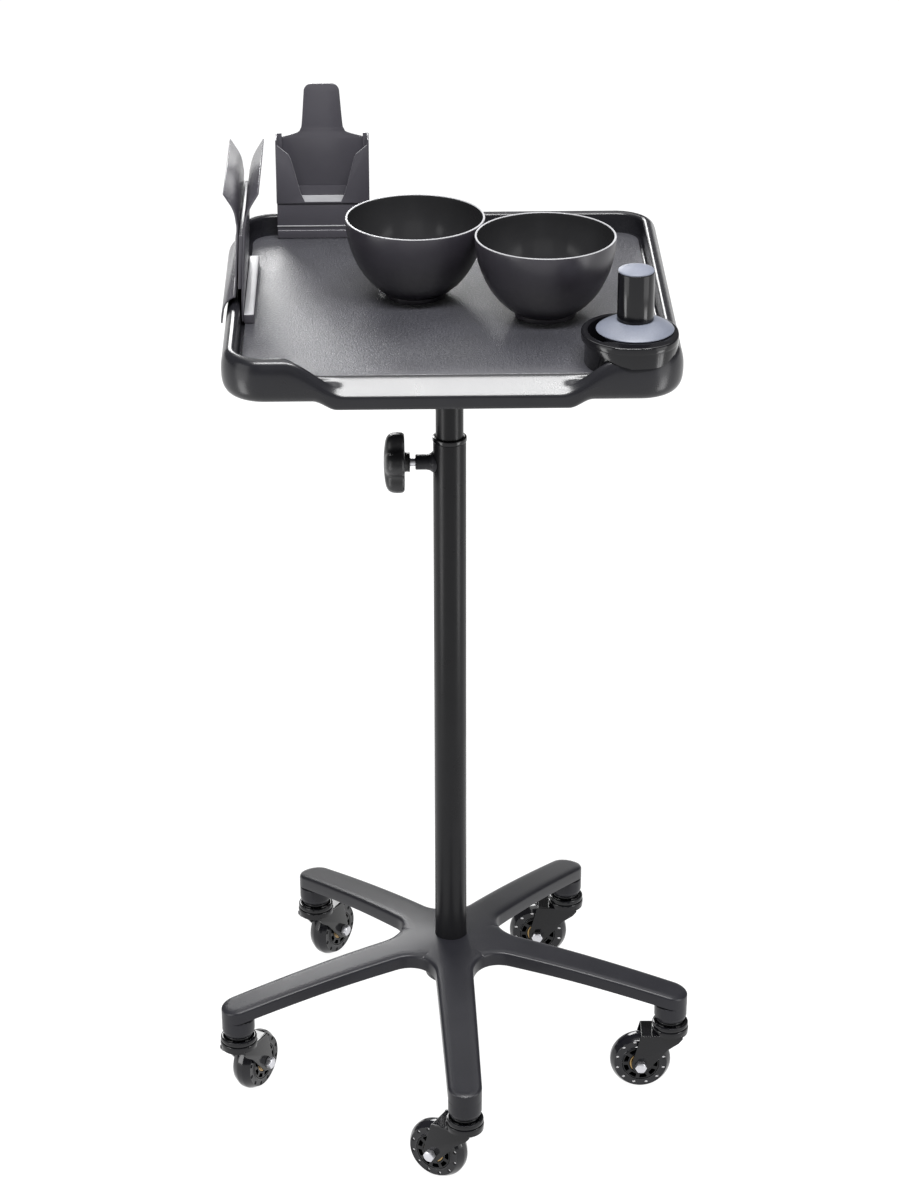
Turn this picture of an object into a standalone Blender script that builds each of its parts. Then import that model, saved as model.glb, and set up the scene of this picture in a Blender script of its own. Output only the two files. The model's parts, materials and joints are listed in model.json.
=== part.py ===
"""Rolling salon trolley: a tray on a telescopic column over a five-arm base on casters.

Metres, +Z up, the operator's side of the tray faces -Y. The origin is on the floor under the
middle of the footprint. Lengths of the sub-parts are worked out from the constants below.
"""
import math

import bmesh
import bpy
from mathutils import Matrix, Vector

# ---------------------------------------------------------------- driving dimensions
GAP = 0.0003                    # clearance between pieces that touch or run in one another

COLUMN_X = -0.001               # where the column stands, seen from the middle of the footprint
COLUMN_Y = 0.011

# five-arm base
ARM_COUNT = 5
FRONT_ARM_ANGLE = math.radians(-87.74)
STEM_RADIUS = 0.2313            # column axis to caster stem axis
TIP_WIDTH = 0.0334
HUB_ARM_WIDTH = 0.0375
CROTCH_RADIUS = 0.053           # column axis to the rounded corner between two arms
HUB_TOP = 0.147
TIP_TOP = 0.110
ARCH_POWER = 1.45               # how late along the arm its top starts to drop
CROWN_DROP = 0.003
CROWN_REACH = 0.009
FLANGE_AT_HUB = 0.012
FLANGE_AT_TIP = 0.011
HUB_BOTTOM = 0.100
BOSS_BOTTOM = 0.080

# column
TUBE_RADIUS = 0.016
TUBE_WALL = 0.0015
TUBE_FOOT = 0.1066
TUBE_TOP = 0.694
BUSH_HEIGHT = 0.005
MAST_RADIUS = 0.0134
MAST_WALL = 0.0015
MAST_FOOT = 0.420
MAST_TOP = 0.812
CLAMP_Z = 0.672
KNOB_RADIUS = 0.030
KNOB_LOBES = 5

# casters
WHEEL_RADIUS = 0.031
TREAD_WIDTH = 0.024
TREAD_FLAT = 0.003              # width of the level band round the crown of the tread
TYRE_SIDES = 20
TRAIL = 0.0297
TRAIL_ANGLES = [math.radians(a) for a in (149.0, 179.0, 175.0, 56.0, 60.0)]
FORK_HALF_WIDTH = 0.0152
LEG_THICKNESS = 0.0026
CROWN_TOP = 0.066
RING_TOP = 0.0767

# tray
FLOOR_Z = 0.832                 # top of the mat, where things stand
MAT_THICKNESS = 0.002
RIM_HEIGHT = 0.0195
TRAY_HALF_WIDTH = 0.2083
TRAY_FRONT = -0.192
TRAY_REAR = 0.219
CORNER_RADIUS = 0.040
LIP_FULL_AT = 0.152             # |X| outside which the front rim has its full height
LIP_INNER_AT = 0.118            # |X| inside which the floor runs out over the lowered front
LIP_OUTER_AT = 0.096            # |X| inside which the outer edge of the lip is lowest
BRACKET_TOP = 0.8183
BRACKET_LOW = 0.785
SCREW_CIRCLE = 0.046
SCREW_COUNT = 4

# what stands on the tray
BOWL_RADIUS = 0.0658
BOWL_HEIGHT = 0.0773
BOWL_FOOT_RADIUS = 0.0289
BOWL_WALL = 0.0022
BOWL_PLACES = {"bowl_left": (-0.0313, 0.0308), "bowl_right": (0.0889, -0.0240)}
HOLDER_SHEET = 0.0016
REAR_HOLDER_X = (-0.1667, -0.0750)
SIDE_HOLDER_Y = (-0.0445, 0.1160)
POT_X, POT_Y = 0.1645, -0.1450
POT_CUP_X, POT_CUP_Y = 0.1597, -0.1465
POT_CUP_A, POT_CUP_B = 0.0440, 0.0468
POT_CUP_SQUARE = 2.5            # exponent of the squarer quarter; 2 is an ellipse
POT_RIM_Z = 0.862

SIDES = 24                      # facets round a large turned piece
SMALL_SIDES = 12


# ---------------------------------------------------------------- mesh helpers
def scratch(data):
    """A temporary object that carries a mesh or a curve while modifiers are evaluated."""
    obj = bpy.data.objects.new("scratch", data)
    bpy.context.scene.collection.objects.link(obj)
    return obj


def baked(obj, keep=()):
    """The evaluated mesh of a temporary object, which is then removed with its helpers."""
    graph = bpy.context.evaluated_depsgraph_get()
    mesh = bpy.data.meshes.new_from_object(obj.evaluated_get(graph))
    for used in (obj, *keep):
        bpy.data.objects.remove(used)
    return mesh


def welded(mesh, distance=1e-6):
    """Merge the points of a mesh that coincide and turn its faces outwards."""
    bm = bmesh.new()
    bm.from_mesh(mesh)
    bmesh.ops.remove_doubles(bm, verts=bm.verts, dist=distance)
    bmesh.ops.recalc_face_normals(bm, faces=bm.faces)
    bm.to_mesh(mesh)
    bm.free()
    return mesh


def turned(profile, sides=SIDES):
    """A body turned about Z. The profile of (radius, height) points runs down its outer side."""
    points = [(r, 0.0, z) for r, z in profile]
    edges = [(i, i + 1) for i in range(len(points) - 1)]
    if profile[0][0] > 0.0 or profile[-1][0] > 0.0:
        edges.append((len(points) - 1, 0))
    mesh = bpy.data.meshes.new("profile")
    mesh.from_pydata(points, edges, [])
    obj = scratch(mesh)
    screw = obj.modifiers.new("turn", "SCREW")
    screw.steps = screw.render_steps = sides
    screw.use_merge_vertices = True
    screw.merge_threshold = 1e-5
    return welded(baked(obj))


def prism(outlines, low, high):
    """An upright plate from closed outlines in XY; outlines after the first are holes."""
    curve = bpy.data.curves.new("outline", "CURVE")
    curve.dimensions = "2D"
    curve.fill_mode = "BOTH"
    curve.extrude = (high - low) / 2
    for outline in outlines:
        spline = curve.splines.new("POLY")
        spline.points.add(len(outline) - 1)
        spline.use_cyclic_u = True
        for point, (x, y) in zip(spline.points, outline):
            point.co = (x, y, 0.0, 1.0)
    mesh = welded(baked(scratch(curve)), 1e-5)
    mesh.transform(Matrix.Translation((0.0, 0.0, (low + high) / 2)))
    return mesh


def moved(mesh, x=0.0, y=0.0, z=0.0, turn=0.0):
    """A copy of a mesh turned about Z and then shifted."""
    copy = mesh.copy()
    copy.transform(Matrix.Translation((x, y, z)) @ Matrix.Rotation(turn, 4, "Z"))
    return copy


def stood_on_y(mesh):
    """Turn a plate drawn in XY so that its outline lies in XZ and its thickness along Y."""
    mesh.transform(Matrix.Rotation(math.pi / 2, 4, "X"))
    return mesh


def combined(base, others, operation):
    """Union with, or difference from, other closed meshes."""
    obj = scratch(base)
    helpers = []
    for other in others:
        helper = scratch(other)
        helpers.append(helper)
        cut = obj.modifiers.new("combine", "BOOLEAN")
        cut.object = helper
        cut.operation = operation
        cut.solver = "EXACT"
    return welded(baked(obj, helpers))


def merged(meshes):
    """Several meshes as one, still separate bodies: used for cutters."""
    bm = bmesh.new()
    for mesh in meshes:
        bm.from_mesh(mesh)
    out = bpy.data.meshes.new("merged")
    bm.to_mesh(out)
    bm.free()
    return out


def loft(rings, cap_ends=True):
    """Faces between rings of points with equal counts, the first and last one capped."""
    bm = bmesh.new()
    rows = [[bm.verts.new(p) for p in ring] for ring in rings]
    count = len(rows[0])
    for lower, upper in zip(rows, rows[1:]):
        for i in range(count):
            j = (i + 1) % count
            bm.faces.new((lower[i], lower[j], upper[j], upper[i]))
    if cap_ends:
        bm.faces.new(list(reversed(rows[0])))
        bm.faces.new(rows[-1])
    mesh = bpy.data.meshes.new("loft")
    bm.to_mesh(mesh)
    bm.free()
    return welded(mesh)


def cup_outline(inset, sides=28):
    """The pot's oval in plan, squarer where it follows the tray's front right corner."""
    a, b = POT_CUP_A - inset, POT_CUP_B - inset
    points = []
    for i in range(sides):
        turn = 2 * math.pi * i / sides
        c, s = math.cos(turn), math.sin(turn)
        power = 2.0 / POT_CUP_SQUARE if c > 0.0 > s else 1.0
        points.append((POT_CUP_X + a * math.copysign(abs(c) ** power, c),
                       POT_CUP_Y + b * math.copysign(abs(s) ** power, s)))
    return points


def ellipse(x, y, a, b, sides):
    """Points of an ellipse in XY."""
    turn = [2 * math.pi * i / sides for i in range(sides)]
    return [(x + a * math.cos(t), y + b * math.sin(t)) for t in turn]


def smooth_step(value, start, end):
    """0 before start, 1 after end, with level ends."""
    t = min(1.0, max(0.0, (value - start) / (end - start)))
    return t * t * (3.0 - 2.0 * t)


# ---------------------------------------------------------------- materials and nodes
def material(name, colour, roughness, metallic=0.0):
    made = bpy.data.materials.new(name)
    made.use_nodes = True
    shader = made.node_tree.nodes["Principled BSDF"]
    shader.inputs["Base Color"].default_value = (*colour, 1.0)
    shader.inputs["Roughness"].default_value = roughness
    shader.inputs["Metallic"].default_value = metallic
    return made


def node(name, mesh, look, parent, x=0.0, y=0.0, z=0.0, turn=0.0):
    """One named sub-part, placed under its parent empty."""
    mesh.name = name
    mesh.materials.clear()
    mesh.materials.append(look)
    mesh.shade_smooth()
    mesh.set_sharp_from_angle(angle=math.radians(35))
    obj = bpy.data.objects.new(name, mesh)
    parts.objects.link(obj)
    obj.parent = parent
    obj.location = (x, y, z)
    obj.rotation_euler = (0.0, 0.0, turn)
    return obj


def empty(name, parent, x=0.0, y=0.0, z=0.0, turn=0.0):
    obj = bpy.data.objects.new(name, None)
    parts.objects.link(obj)
    obj.parent = parent
    obj.location = (x, y, z)
    obj.rotation_euler = (0.0, 0.0, turn)
    return obj


# ---------------------------------------------------------------- base
SECTOR = math.pi / ARM_COUNT
HALF_HUB = HUB_ARM_WIDTH / 2
HALF_TIP = TIP_WIDTH / 2
FILLET = (CROTCH_RADIUS * math.sin(SECTOR) - HALF_HUB) / (1.0 - math.sin(SECTOR))
FILLET_X = (CROTCH_RADIUS + FILLET) * math.cos(SECTOR)
CROTCH_X = CROTCH_RADIUS * math.cos(SECTOR)
ARM_END = STEM_RADIUS + HALF_TIP


def arm_half_width(x):
    """Half the plan width of one fifth of the star at a distance x along its arm."""
    if x <= CROTCH_X:
        return x * math.tan(SECTOR)
    if x <= FILLET_X:
        return HALF_HUB + FILLET - math.sqrt(max(0.0, FILLET ** 2 - (x - FILLET_X) ** 2))
    if x <= STEM_RADIUS:
        t = (x - FILLET_X) / (STEM_RADIUS - FILLET_X)
        return HALF_HUB + (HALF_TIP - HALF_HUB) * t
    return math.sqrt(max(0.0, HALF_TIP ** 2 - (x - STEM_RADIUS) ** 2))


def spine(r):
    """Height of the arm's ridge at a distance r from the column."""
    return HUB_TOP - (HUB_TOP - TIP_TOP) * (min(r, ARM_END) / ARM_END) ** ARCH_POWER


def flange(r):
    """Height of the arm's upright side."""
    return FLANGE_AT_HUB + (FLANGE_AT_TIP - FLANGE_AT_HUB) * smooth_step(r, 0.06, 0.15)


def arm_stations():
    """Distances along the arm where it is sectioned: closer in the fillet and the round tip."""
    hub = [0.010, 0.030, CROTCH_X]
    fillet = [CROTCH_X + (FILLET_X - CROTCH_X) * t for t in (0.2, 0.5, 1.0)]
    arm = [FILLET_X + (STEM_RADIUS - FILLET_X) * i / 6 for i in range(1, 7)]
    tip = [STEM_RADIUS + HALF_TIP * math.sin(math.radians(a)) for a in (30, 60, 90)]
    return hub + fillet + arm + tip


def star_shell():
    """The star's outer skin: one fifth is sectioned along its arm and repeated about the hub."""
    stations = arm_stations()
    edge = [(x, arm_half_width(x)) for x in stations if x >= CROTCH_X]

    def top(x, y):
        inside = min(math.hypot(x - ex, abs(y) - ey) for ex, ey in edge)
        across = arm_half_width(x) - abs(y)
        if x > FILLET_X:
            inside = min(inside, across)
        near = max(0.0, 1.0 - inside / CROWN_REACH)
        drop = CROWN_DROP * (1.0 - math.sqrt(max(0.0, 1.0 - near * near)))
        return spine(math.hypot(x, y)) - drop

    across_top = (-1.0, -0.8, -0.4, 0.4, 0.8, 1.0)
    bm = bmesh.new()
    for arm in range(ARM_COUNT):
        turn = Matrix.Rotation(2 * SECTOR * arm, 4, "Z")
        rows = []
        for x in stations:
            half = arm_half_width(x)
            upper = [(x, v * half, top(x, v * half)) for v in across_top]
            lower = []
            for v in (1.0, 0.0, -1.0):
                r = math.hypot(x, v * half)
                lower.append((x, v * half, spine(r) - CROWN_DROP - flange(r)))
            rows.append(([bm.verts.new(turn @ Vector(p)) for p in upper],
                         [bm.verts.new(turn @ Vector(p)) for p in lower]))
        bm.faces.new(rows[0][0] + rows[0][1])
        for (up_a, low_a), (up_b, low_b), x in zip(rows, rows[1:], stations):
            for i in range(len(across_top) - 1):
                bm.faces.new((up_a[i], up_b[i], up_b[i + 1], up_a[i + 1]))
            for i in range(2):
                bm.faces.new((low_a[i], low_b[i], low_b[i + 1], low_a[i + 1]))
            if x >= CROTCH_X:
                bm.faces.new((up_a[-1], up_b[-1], low_b[0], low_a[0]))
                bm.faces.new((low_a[2], low_b[2], up_b[0], up_a[0]))
    mesh = bpy.data.meshes.new("star")
    bm.to_mesh(mesh)
    bm.free()
    return welded(mesh, 1e-5)


def base_star():
    """Cast base with hollow arms, caster bosses and a bore for the column."""
    wall = 0.0045
    channel_rows = []
    for i in range(5):
        x = 0.064 + (0.205 - 0.064) * i / 4
        half = arm_half_width(x) - wall
        high = spine(x) - CROWN_DROP - wall
        channel_rows.append([(x, -half, 0.05), (x, half, 0.05), (x, half, high), (x, -half, high)])
    channel = loft(channel_rows)
    boss = turned([(0, 0.098), (HALF_TIP - GAP, 0.098), (HALF_TIP - GAP, BOSS_BOTTOM + 0.001),
                   (HALF_TIP - 0.0013, BOSS_BOTTOM), (0, BOSS_BOTTOM)], 18)
    pin_bore = turned([(0, 0.104), (0.0058, 0.104), (0.0058, 0.07), (0, 0.07)], 10)
    hub = turned([(0, 0.138), (0.0262, 0.138), (0.027, 0.112), (0.0262, HUB_BOTTOM + 0.0015),
                  (0.0247, HUB_BOTTOM), (0, HUB_BOTTOM)], SIDES)
    angles = [2 * SECTOR * i for i in range(ARM_COUNT)]

    def at_stems(mesh):
        return [moved(mesh, STEM_RADIUS * math.cos(a), STEM_RADIUS * math.sin(a)) for a in angles]

    bore = TUBE_RADIUS + GAP
    seat = TUBE_FOOT - GAP
    column_bore = turned([(0, 0.2), (bore, 0.2), (bore, seat), (0.0056, seat), (0.0056, 0.09),
                          (0, 0.09)], SIDES)
    star = combined(star_shell(), [hub, merged(at_stems(boss))], "UNION")
    channels = merged([moved(channel, turn=a) for a in angles])
    return combined(star, [column_bore, channels, merged(at_stems(pin_bore))], "DIFFERENCE")


def build_base(root):
    star = empty("base", root, turn=FRONT_ARM_ANGLE)
    node("base_star", base_star(), LOOK["powder_coat"], star)

    washer_top = HUB_BOTTOM - GAP
    washer = [(0.011, washer_top), (0.011, washer_top - 0.0025), (0.0056, washer_top - 0.0025),
              (0.0056, washer_top)]
    node("foot_washer", turned(washer, SMALL_SIDES), LOOK["zinc"], root)
    head_top = washer_top - 0.0025 - GAP
    head = turned([(0, head_top), (0.0098, head_top), (0.0098, head_top - 0.0064),
                   (0, head_top - 0.0064)], 6)
    shank = turned([(0, 0.1155), (0.005, 0.1155), (0.005, head_top - 0.003),
                    (0, head_top - 0.003)], 12)
    node("foot_bolt", combined(head, [shank], "UNION"), LOOK["zinc"], root)


# ---------------------------------------------------------------- column and clamp
def along_minus_x(mesh, z):
    """Lay a body turned about Z so that its height runs from the column axis towards -X."""
    mesh.transform(Matrix.Translation((0, 0, z)) @ Matrix.Rotation(-math.pi / 2, 4, "Y"))
    return mesh


def build_column(root):
    inner = TUBE_RADIUS - TUBE_WALL
    tube = turned([(TUBE_RADIUS, TUBE_TOP), (TUBE_RADIUS, TUBE_FOOT), (0.0053, TUBE_FOOT),
                   (0.0053, TUBE_FOOT + 0.009), (inner, TUBE_FOOT + 0.009), (inner, TUBE_TOP)])
    pad_hole = along_minus_x(turned([(0, 0.022), (0.0045, 0.022), (0.0045, 0.008), (0, 0.008)], 16),
                             CLAMP_Z)
    node("column_tube", combined(tube, [pad_hole], "DIFFERENCE"), LOOK["powder_coat"], root)

    collar_low = TUBE_TOP + GAP
    collar_high = TUBE_TOP + BUSH_HEIGHT
    sleeve_low = CLAMP_Z + 0.008
    bore = MAST_RADIUS + GAP
    bush = turned([(0.0150, collar_high), (0.0165, collar_high - 0.0012),
                   (0.0167, collar_high - 0.0025), (0.0165, collar_low), (inner - GAP, collar_low),
                   (inner - GAP, sleeve_low), (bore, sleeve_low), (bore, collar_high)])
    node("guide_bush", bush, LOOK["gloss_plastic"], root)

    boss = along_minus_x(turned([(0.0043, 0.0330), (0.0070, 0.0330), (0.0075, 0.0325),
                                 (0.0075, 0.0225), (0.0082, 0.0190), (0.0105, 0.0160),
                                 (0.0112, 0.0120), (0.0043, 0.0120)], 16), CLAMP_Z)
    round_tube = TUBE_RADIUS + 2 * GAP
    core = turned([(0, 0.72), (round_tube, 0.72), (round_tube, 0.62), (0, 0.62)], 32)
    node("clamp_boss", combined(boss, [core], "DIFFERENCE"), LOOK["powder_coat"], root)

    pad_face = MAST_RADIUS + GAP
    pad_back = pad_face + 0.0036
    pad = turned([(0, pad_back), (0.0037, pad_back), (0.0040, pad_back - 0.0006),
                  (0.0040, pad_face + 0.0005), (0.0034, pad_face), (0, pad_face)], 16)
    node("clamp_pad", along_minus_x(pad, 0.0), LOOK["nylon"], root, z=CLAMP_Z)
    stud_end = 0.0560
    stud_start = pad_back + GAP
    stud = turned([(0, stud_end), (0.0040, stud_end), (0.0040, stud_start + 0.0008),
                   (0.0032, stud_start), (0, stud_start)], 16)
    node("clamp_stud", along_minus_x(stud, 0.0), LOOK["zinc"], root, z=CLAMP_Z)
    node("clamp_knob", clamp_knob(stud_end), LOOK["knob_plastic"], root, z=CLAMP_Z)


def clamp_knob(stud_end):
    """Star knob with a domed outer face, bored for the stud."""
    hub_low, star_low, star_high = 0.0382, 0.0432, 0.0635
    outline = []
    points_per_lobe = 8
    for i in range(KNOB_LOBES * points_per_lobe):
        turn = 2 * math.pi * i / (KNOB_LOBES * points_per_lobe)
        lobe = 0.5 + 0.5 * math.cos(KNOB_LOBES * turn)
        radius = KNOB_RADIUS - 0.0068 * (1.0 - lobe) ** 1.6
        outline.append((radius * math.cos(turn), radius * math.sin(turn)))
    star = prism([outline], star_low, star_high)
    dome = turned([(0, star_high - 0.0002), (0.0120, star_high - 0.0006),
                   (0.0220, star_high - 0.0028), (0.0290, star_high - 0.0062),
                   (KNOB_RADIUS + 0.001, star_high - 0.0105),
                   (KNOB_RADIUS + 0.001, star_low + 0.002),
                   (0.0285, star_low + 0.0004), (0, star_low + 0.0004)])
    hub = turned([(0, star_low + 0.004), (0.0096, star_low + 0.004), (0.0088, hub_low),
                  (0, hub_low)], 16)
    hole_end = stud_end + GAP
    hole = turned([(0, hole_end), (0.0043, hole_end), (0.0043, 0.03), (0, 0.03)], 16)
    knob = combined(star, [dome], "INTERSECT")
    knob = combined(knob, [hub], "UNION")
    return along_minus_x(combined(knob, [hole], "DIFFERENCE"), 0.0)


def build_mast(mast):
    """Inner tube with its guide plug below and the tray's bracket above."""
    inner = MAST_RADIUS - MAST_WALL
    plug_radius = TUBE_RADIUS - TUBE_WALL - GAP
    plug_top = MAST_FOOT - GAP
    plug = turned([(0, plug_top + 0.012), (inner - GAP, plug_top + 0.012), (inner - GAP, plug_top),
                   (plug_radius, plug_top), (plug_radius, plug_top - 0.018),
                   (plug_radius - 0.0015, plug_top - 0.020), (0, plug_top - 0.020)])
    node("mast_plug", plug, LOOK["nylon"], mast)
    tube = turned([(MAST_RADIUS, MAST_TOP), (MAST_RADIUS, MAST_FOOT), (inner, MAST_FOOT),
                   (inner, MAST_TOP)])
    node("inner_tube", tube, LOOK["powder_coat"], mast)


# ---------------------------------------------------------------- casters
def fork_mesh():
    """Twin-leg fork: crown plate, tapered legs and the two swivel rings, trail along +X."""
    axle_x, axle_z = TRAIL, WHEEL_RADIUS
    eye = 0.0093
    leg = [(-0.0125, CROWN_TOP), (-0.0125, 0.0622), (-0.0085, 0.0570), (0.0020, 0.0495)]
    for degrees in range(-140, 21, 32):
        a = math.radians(degrees)
        leg.append((axle_x + eye * math.cos(a), axle_z + eye * math.sin(a)))
    leg += [(0.0300, CROWN_TOP)]
    bolt_hole = ellipse(axle_x, axle_z, 0.0044, 0.0044, 8)
    plates = []
    for side in (-1, 1):
        plate = stood_on_y(prism([leg, bolt_hole], -LEG_THICKNESS / 2, LEG_THICKNESS / 2))
        plates.append(moved(plate, y=side * (FORK_HALF_WIDTH - LEG_THICKNESS / 2)))
    half = FORK_HALF_WIDTH - 0.0004
    rear = [(-0.0184 * math.sin(math.radians(a)), 0.0184 * math.cos(math.radians(a)))
            for a in range(40, 141, 20)]
    crown = prism([[(0.0296, half), (-0.0110, half), *rear, (-0.0110, -half), (0.0296, -half)]],
                  CROWN_TOP - 0.0026, CROWN_TOP - 0.0002)
    rings = turned([(0.0170, RING_TOP), (0.0184, RING_TOP - 0.0014), (0.0182, 0.0716),
                    (0.0190, 0.0704), (0.0186, CROWN_TOP - 0.001), (0.0058, CROWN_TOP - 0.001),
                    (0.0058, RING_TOP)], 14)
    pin = turned([(0, 0.08), (0.0058, 0.08), (0.0058, 0.06), (0, 0.06)], 14)
    body = combined(crown, plates + [rings], "UNION")
    return combined(body, [pin], "DIFFERENCE")


def stem_mesh():
    """Swivel pin with its collar below the boss and a riveted lower end."""
    collar_high = BOSS_BOTTOM - GAP
    collar_low = RING_TOP + GAP
    head_high = CROWN_TOP - 0.0026 - GAP
    return turned([(0, 0.103), (0.0054, 0.103), (0.0054, collar_high), (0.0140, collar_high),
                   (0.0140, collar_low), (0.0054, collar_low), (0.0054, head_high),
                   (0.0085, head_high), (0.0080, head_high - 0.0030), (0, head_high - 0.0030)],
                  SMALL_SIDES)


def wheel_meshes():
    """Tyre, core, bearing pair and axle bolt, turned about the wheel's axis along Y."""
    half = TREAD_WIDTH / 2
    # a flat of the tread is at the bottom, a wheel radius below the axle
    tread = WHEEL_RADIUS / math.cos(math.pi / TYRE_SIDES)
    tyre = turned([(0.0225, half), (0.0275, half - 0.0020), (0.0303, half - 0.0066),
                   (tread, TREAD_FLAT / 2), (tread, -TREAD_FLAT / 2), (0.0303, 0.0066 - half),
                   (0.0275, 0.0020 - half), (0.0225, -half), (0.0189, 0.0006 - half),
                   (0.0189, half - 0.0006)], TYRE_SIDES)
    tyre.transform(Matrix.Rotation(math.pi / TYRE_SIDES, 4, "Z"))
    core_half = 0.0108
    core = turned([(0.0184, core_half), (0.0184, -core_half), (0.0114, -core_half),
                   (0.0114, -0.0031), (0.0070, -0.0031), (0.0070, 0.0031), (0.0114, 0.0031),
                   (0.0114, core_half)], 16)
    bearings = turned([(0.0110, 0.0104), (0.0110, 0.0034), (0.0067, 0.0034), (0.0067, -0.0034),
                       (0.0110, -0.0034), (0.0110, -0.0104), (0.0043, -0.0104), (0.0043, 0.0104)],
                      SMALL_SIDES)
    shank_end = FORK_HALF_WIDTH + 0.0030
    shank = turned([(0, shank_end), (0.0040, shank_end), (0.0040, -shank_end), (0, -shank_end)], 10)
    near = FORK_HALF_WIDTH + GAP
    head = turned([(0, near + 0.0062), (0.0052, near + 0.0062), (0.0065, near + 0.0054),
                   (0.0065, near), (0, near)], 6)
    nut = turned([(0, -near), (0.0065, -near), (0.0065, -near - 0.0050),
                  (0.0052, -near - 0.0058), (0, -near - 0.0058)], 6)
    axle = combined(shank, [head, nut], "UNION")
    made = {"tyre": tyre, "core": core, "bearings": bearings, "axle": axle}
    for mesh in made.values():
        mesh.transform(Matrix.Rotation(math.pi / 2, 4, "X"))
    return made


def build_casters(root):
    fork, stem = fork_mesh(), stem_mesh()
    wheel = wheel_meshes()
    looks = {"tyre": "smoky_rubber", "core": "gloss_plastic", "bearings": "brass", "axle": "zinc"}
    for i, trail in enumerate(TRAIL_ANGLES):
        number = i + 1
        arm = FRONT_ARM_ANGLE + 2 * SECTOR * i
        x, y = STEM_RADIUS * math.cos(arm), STEM_RADIUS * math.sin(arm)
        node(f"caster_{number}_stem", stem.copy(), LOOK["gloss_plastic"], root, x, y)
        swivel = empty(f"caster_{number}", root, x, y, turn=trail)
        node(f"caster_{number}_fork", fork.copy(), LOOK["gloss_plastic"], swivel)
        # the bolt heads all face the operator, so the axle is laid the other way on some
        faces_back = math.cos(trail) > 0.0
        hub = empty(f"wheel_{number}", swivel, TRAIL, 0.0, WHEEL_RADIUS,
                    turn=0.0 if faces_back else math.pi)
        for piece, mesh in wheel.items():
            node(f"wheel_{number}_{piece}", mesh.copy(), LOOK[looks[piece]], hub)


# ---------------------------------------------------------------- tray
# Sections of the tray's edge as (distance in from the outer face, height over the mat's top),
# from the floor over the rim, down the outside and back up inside the hollow edge. Both have
# the same number of points, so that the full rim can run into the lowered front lip.
RIM = RIM_HEIGHT
FLOOR_LOW = -MAT_THICKNESS - GAP
FULL_RIM = [
    (0.0163, FLOOR_LOW), (0.0143, 0.0002), (0.0137, 0.0150), (0.0128, 0.0181), (0.0102, RIM),
    (0.0066, RIM - 0.0006), (0.0030, RIM - 0.0042), (0.0008, RIM - 0.0110), (0.0000, 0.0010),
    (0.0003, -0.0080), (0.0018, -0.0145), (0.0052, -0.0195), (0.0100, -0.0217),
    (0.0104, -0.0189), (0.0064, -0.0166), (0.0042, -0.0125), (0.0030, 0.0000),
    (0.0046, 0.0120), (0.0078, 0.0155), (0.0108, 0.0110), (0.0112, -0.0028), (0.0150, -0.0060),
]
LOW_LIP = [
    (0.0175, FLOOR_LOW), (0.0173, -0.0004), (0.0166, 0.0000), (0.0148, -0.0010),
    (0.0110, -0.0045), (0.0068, -0.0085), (0.0030, -0.0122), (0.0008, -0.0144),
    (0.0000, -0.0165), (0.0000, -0.0212), (0.0006, -0.0250), (0.0030, -0.0276),
    (0.0080, -0.0286),
    (0.0084, -0.0258), (0.0046, -0.0248), (0.0032, -0.0222), (0.0030, -0.0182),
    (0.0048, -0.0155), (0.0080, -0.0118), (0.0112, -0.0084), (0.0136, -0.0068),
    (0.0155, -0.0060),
]
INNER_POINTS = range(0, 5)      # the floor's edge, the inner wall and the rim's inner crest
BOTTOM_POINTS = range(9, 16)    # the lower edge of the outer wall


def tray_plan():
    """Stations round the tray: (corner centre or edge point, outward direction)."""
    lip = [0.0, 0.050, LIP_OUTER_AT, 0.103, 0.110, LIP_INNER_AT, 0.126, 0.134, 0.143, LIP_FULL_AT]
    front = [-x for x in reversed(lip[1:])] + lip
    cx = TRAY_HALF_WIDTH - CORNER_RADIUS
    low, high = TRAY_FRONT + CORNER_RADIUS, TRAY_REAR - CORNER_RADIUS
    stations = [((x, low), (0.0, -1.0)) for x in front]

    def corner(x, y, start):
        turn = [math.radians(start + 90.0 * i / 6) for i in range(7)]
        return [((x, y), (math.cos(a), math.sin(a))) for a in turn]

    stations += corner(cx, low, -90.0) + corner(cx, high, 0.0)
    stations += corner(-cx, high, 90.0) + corner(-cx, low, 180.0)
    return stations


def tray_ring(index):
    """One ring of points round the tray: the given point of the edge's section, swept."""
    ring = []
    full, low = FULL_RIM[index], LOW_LIP[index]
    for (x, y), (dx, dy) in tray_plan():
        across = abs(x) if dy == -1.0 else TRAY_HALF_WIDTH
        inner = smooth_step(across, LIP_FULL_AT, LIP_INNER_AT)
        outer = smooth_step(across, LIP_FULL_AT, LIP_OUTER_AT)
        bottom = smooth_step(across, 0.126, 0.104)
        if index in INNER_POINTS:
            t = inner
        elif index in BOTTOM_POINTS:
            t = bottom
        else:
            t = outer
        inset = full[0] + (low[0] - full[0]) * t
        height = full[1] + (low[1] - full[1]) * t
        reach = CORNER_RADIUS - inset
        ring.append((x + dx * reach, y + dy * reach, FLOOR_Z + height))
    return ring


def tray_body():
    """Moulded tray with a hollow rolled edge, lowered in front, and a pad for the bracket."""
    shell = loft([tray_ring(i) for i in range(len(FULL_RIM))])
    floor_under = FLOOR_Z - 0.0060
    pad = turned([(0, floor_under + 0.0015), (0.0640, floor_under + 0.0015),
                  (0.0620, BRACKET_TOP + GAP), (0, BRACKET_TOP + GAP)])
    hole = turned([(0, floor_under + 0.0005), (0.0026, floor_under + 0.0005), (0.0026, 0.81),
                   (0, 0.81)], 10)
    body = combined(shell, [pad], "UNION")
    return combined(body, [merged(at_screws(hole))], "DIFFERENCE")


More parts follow.
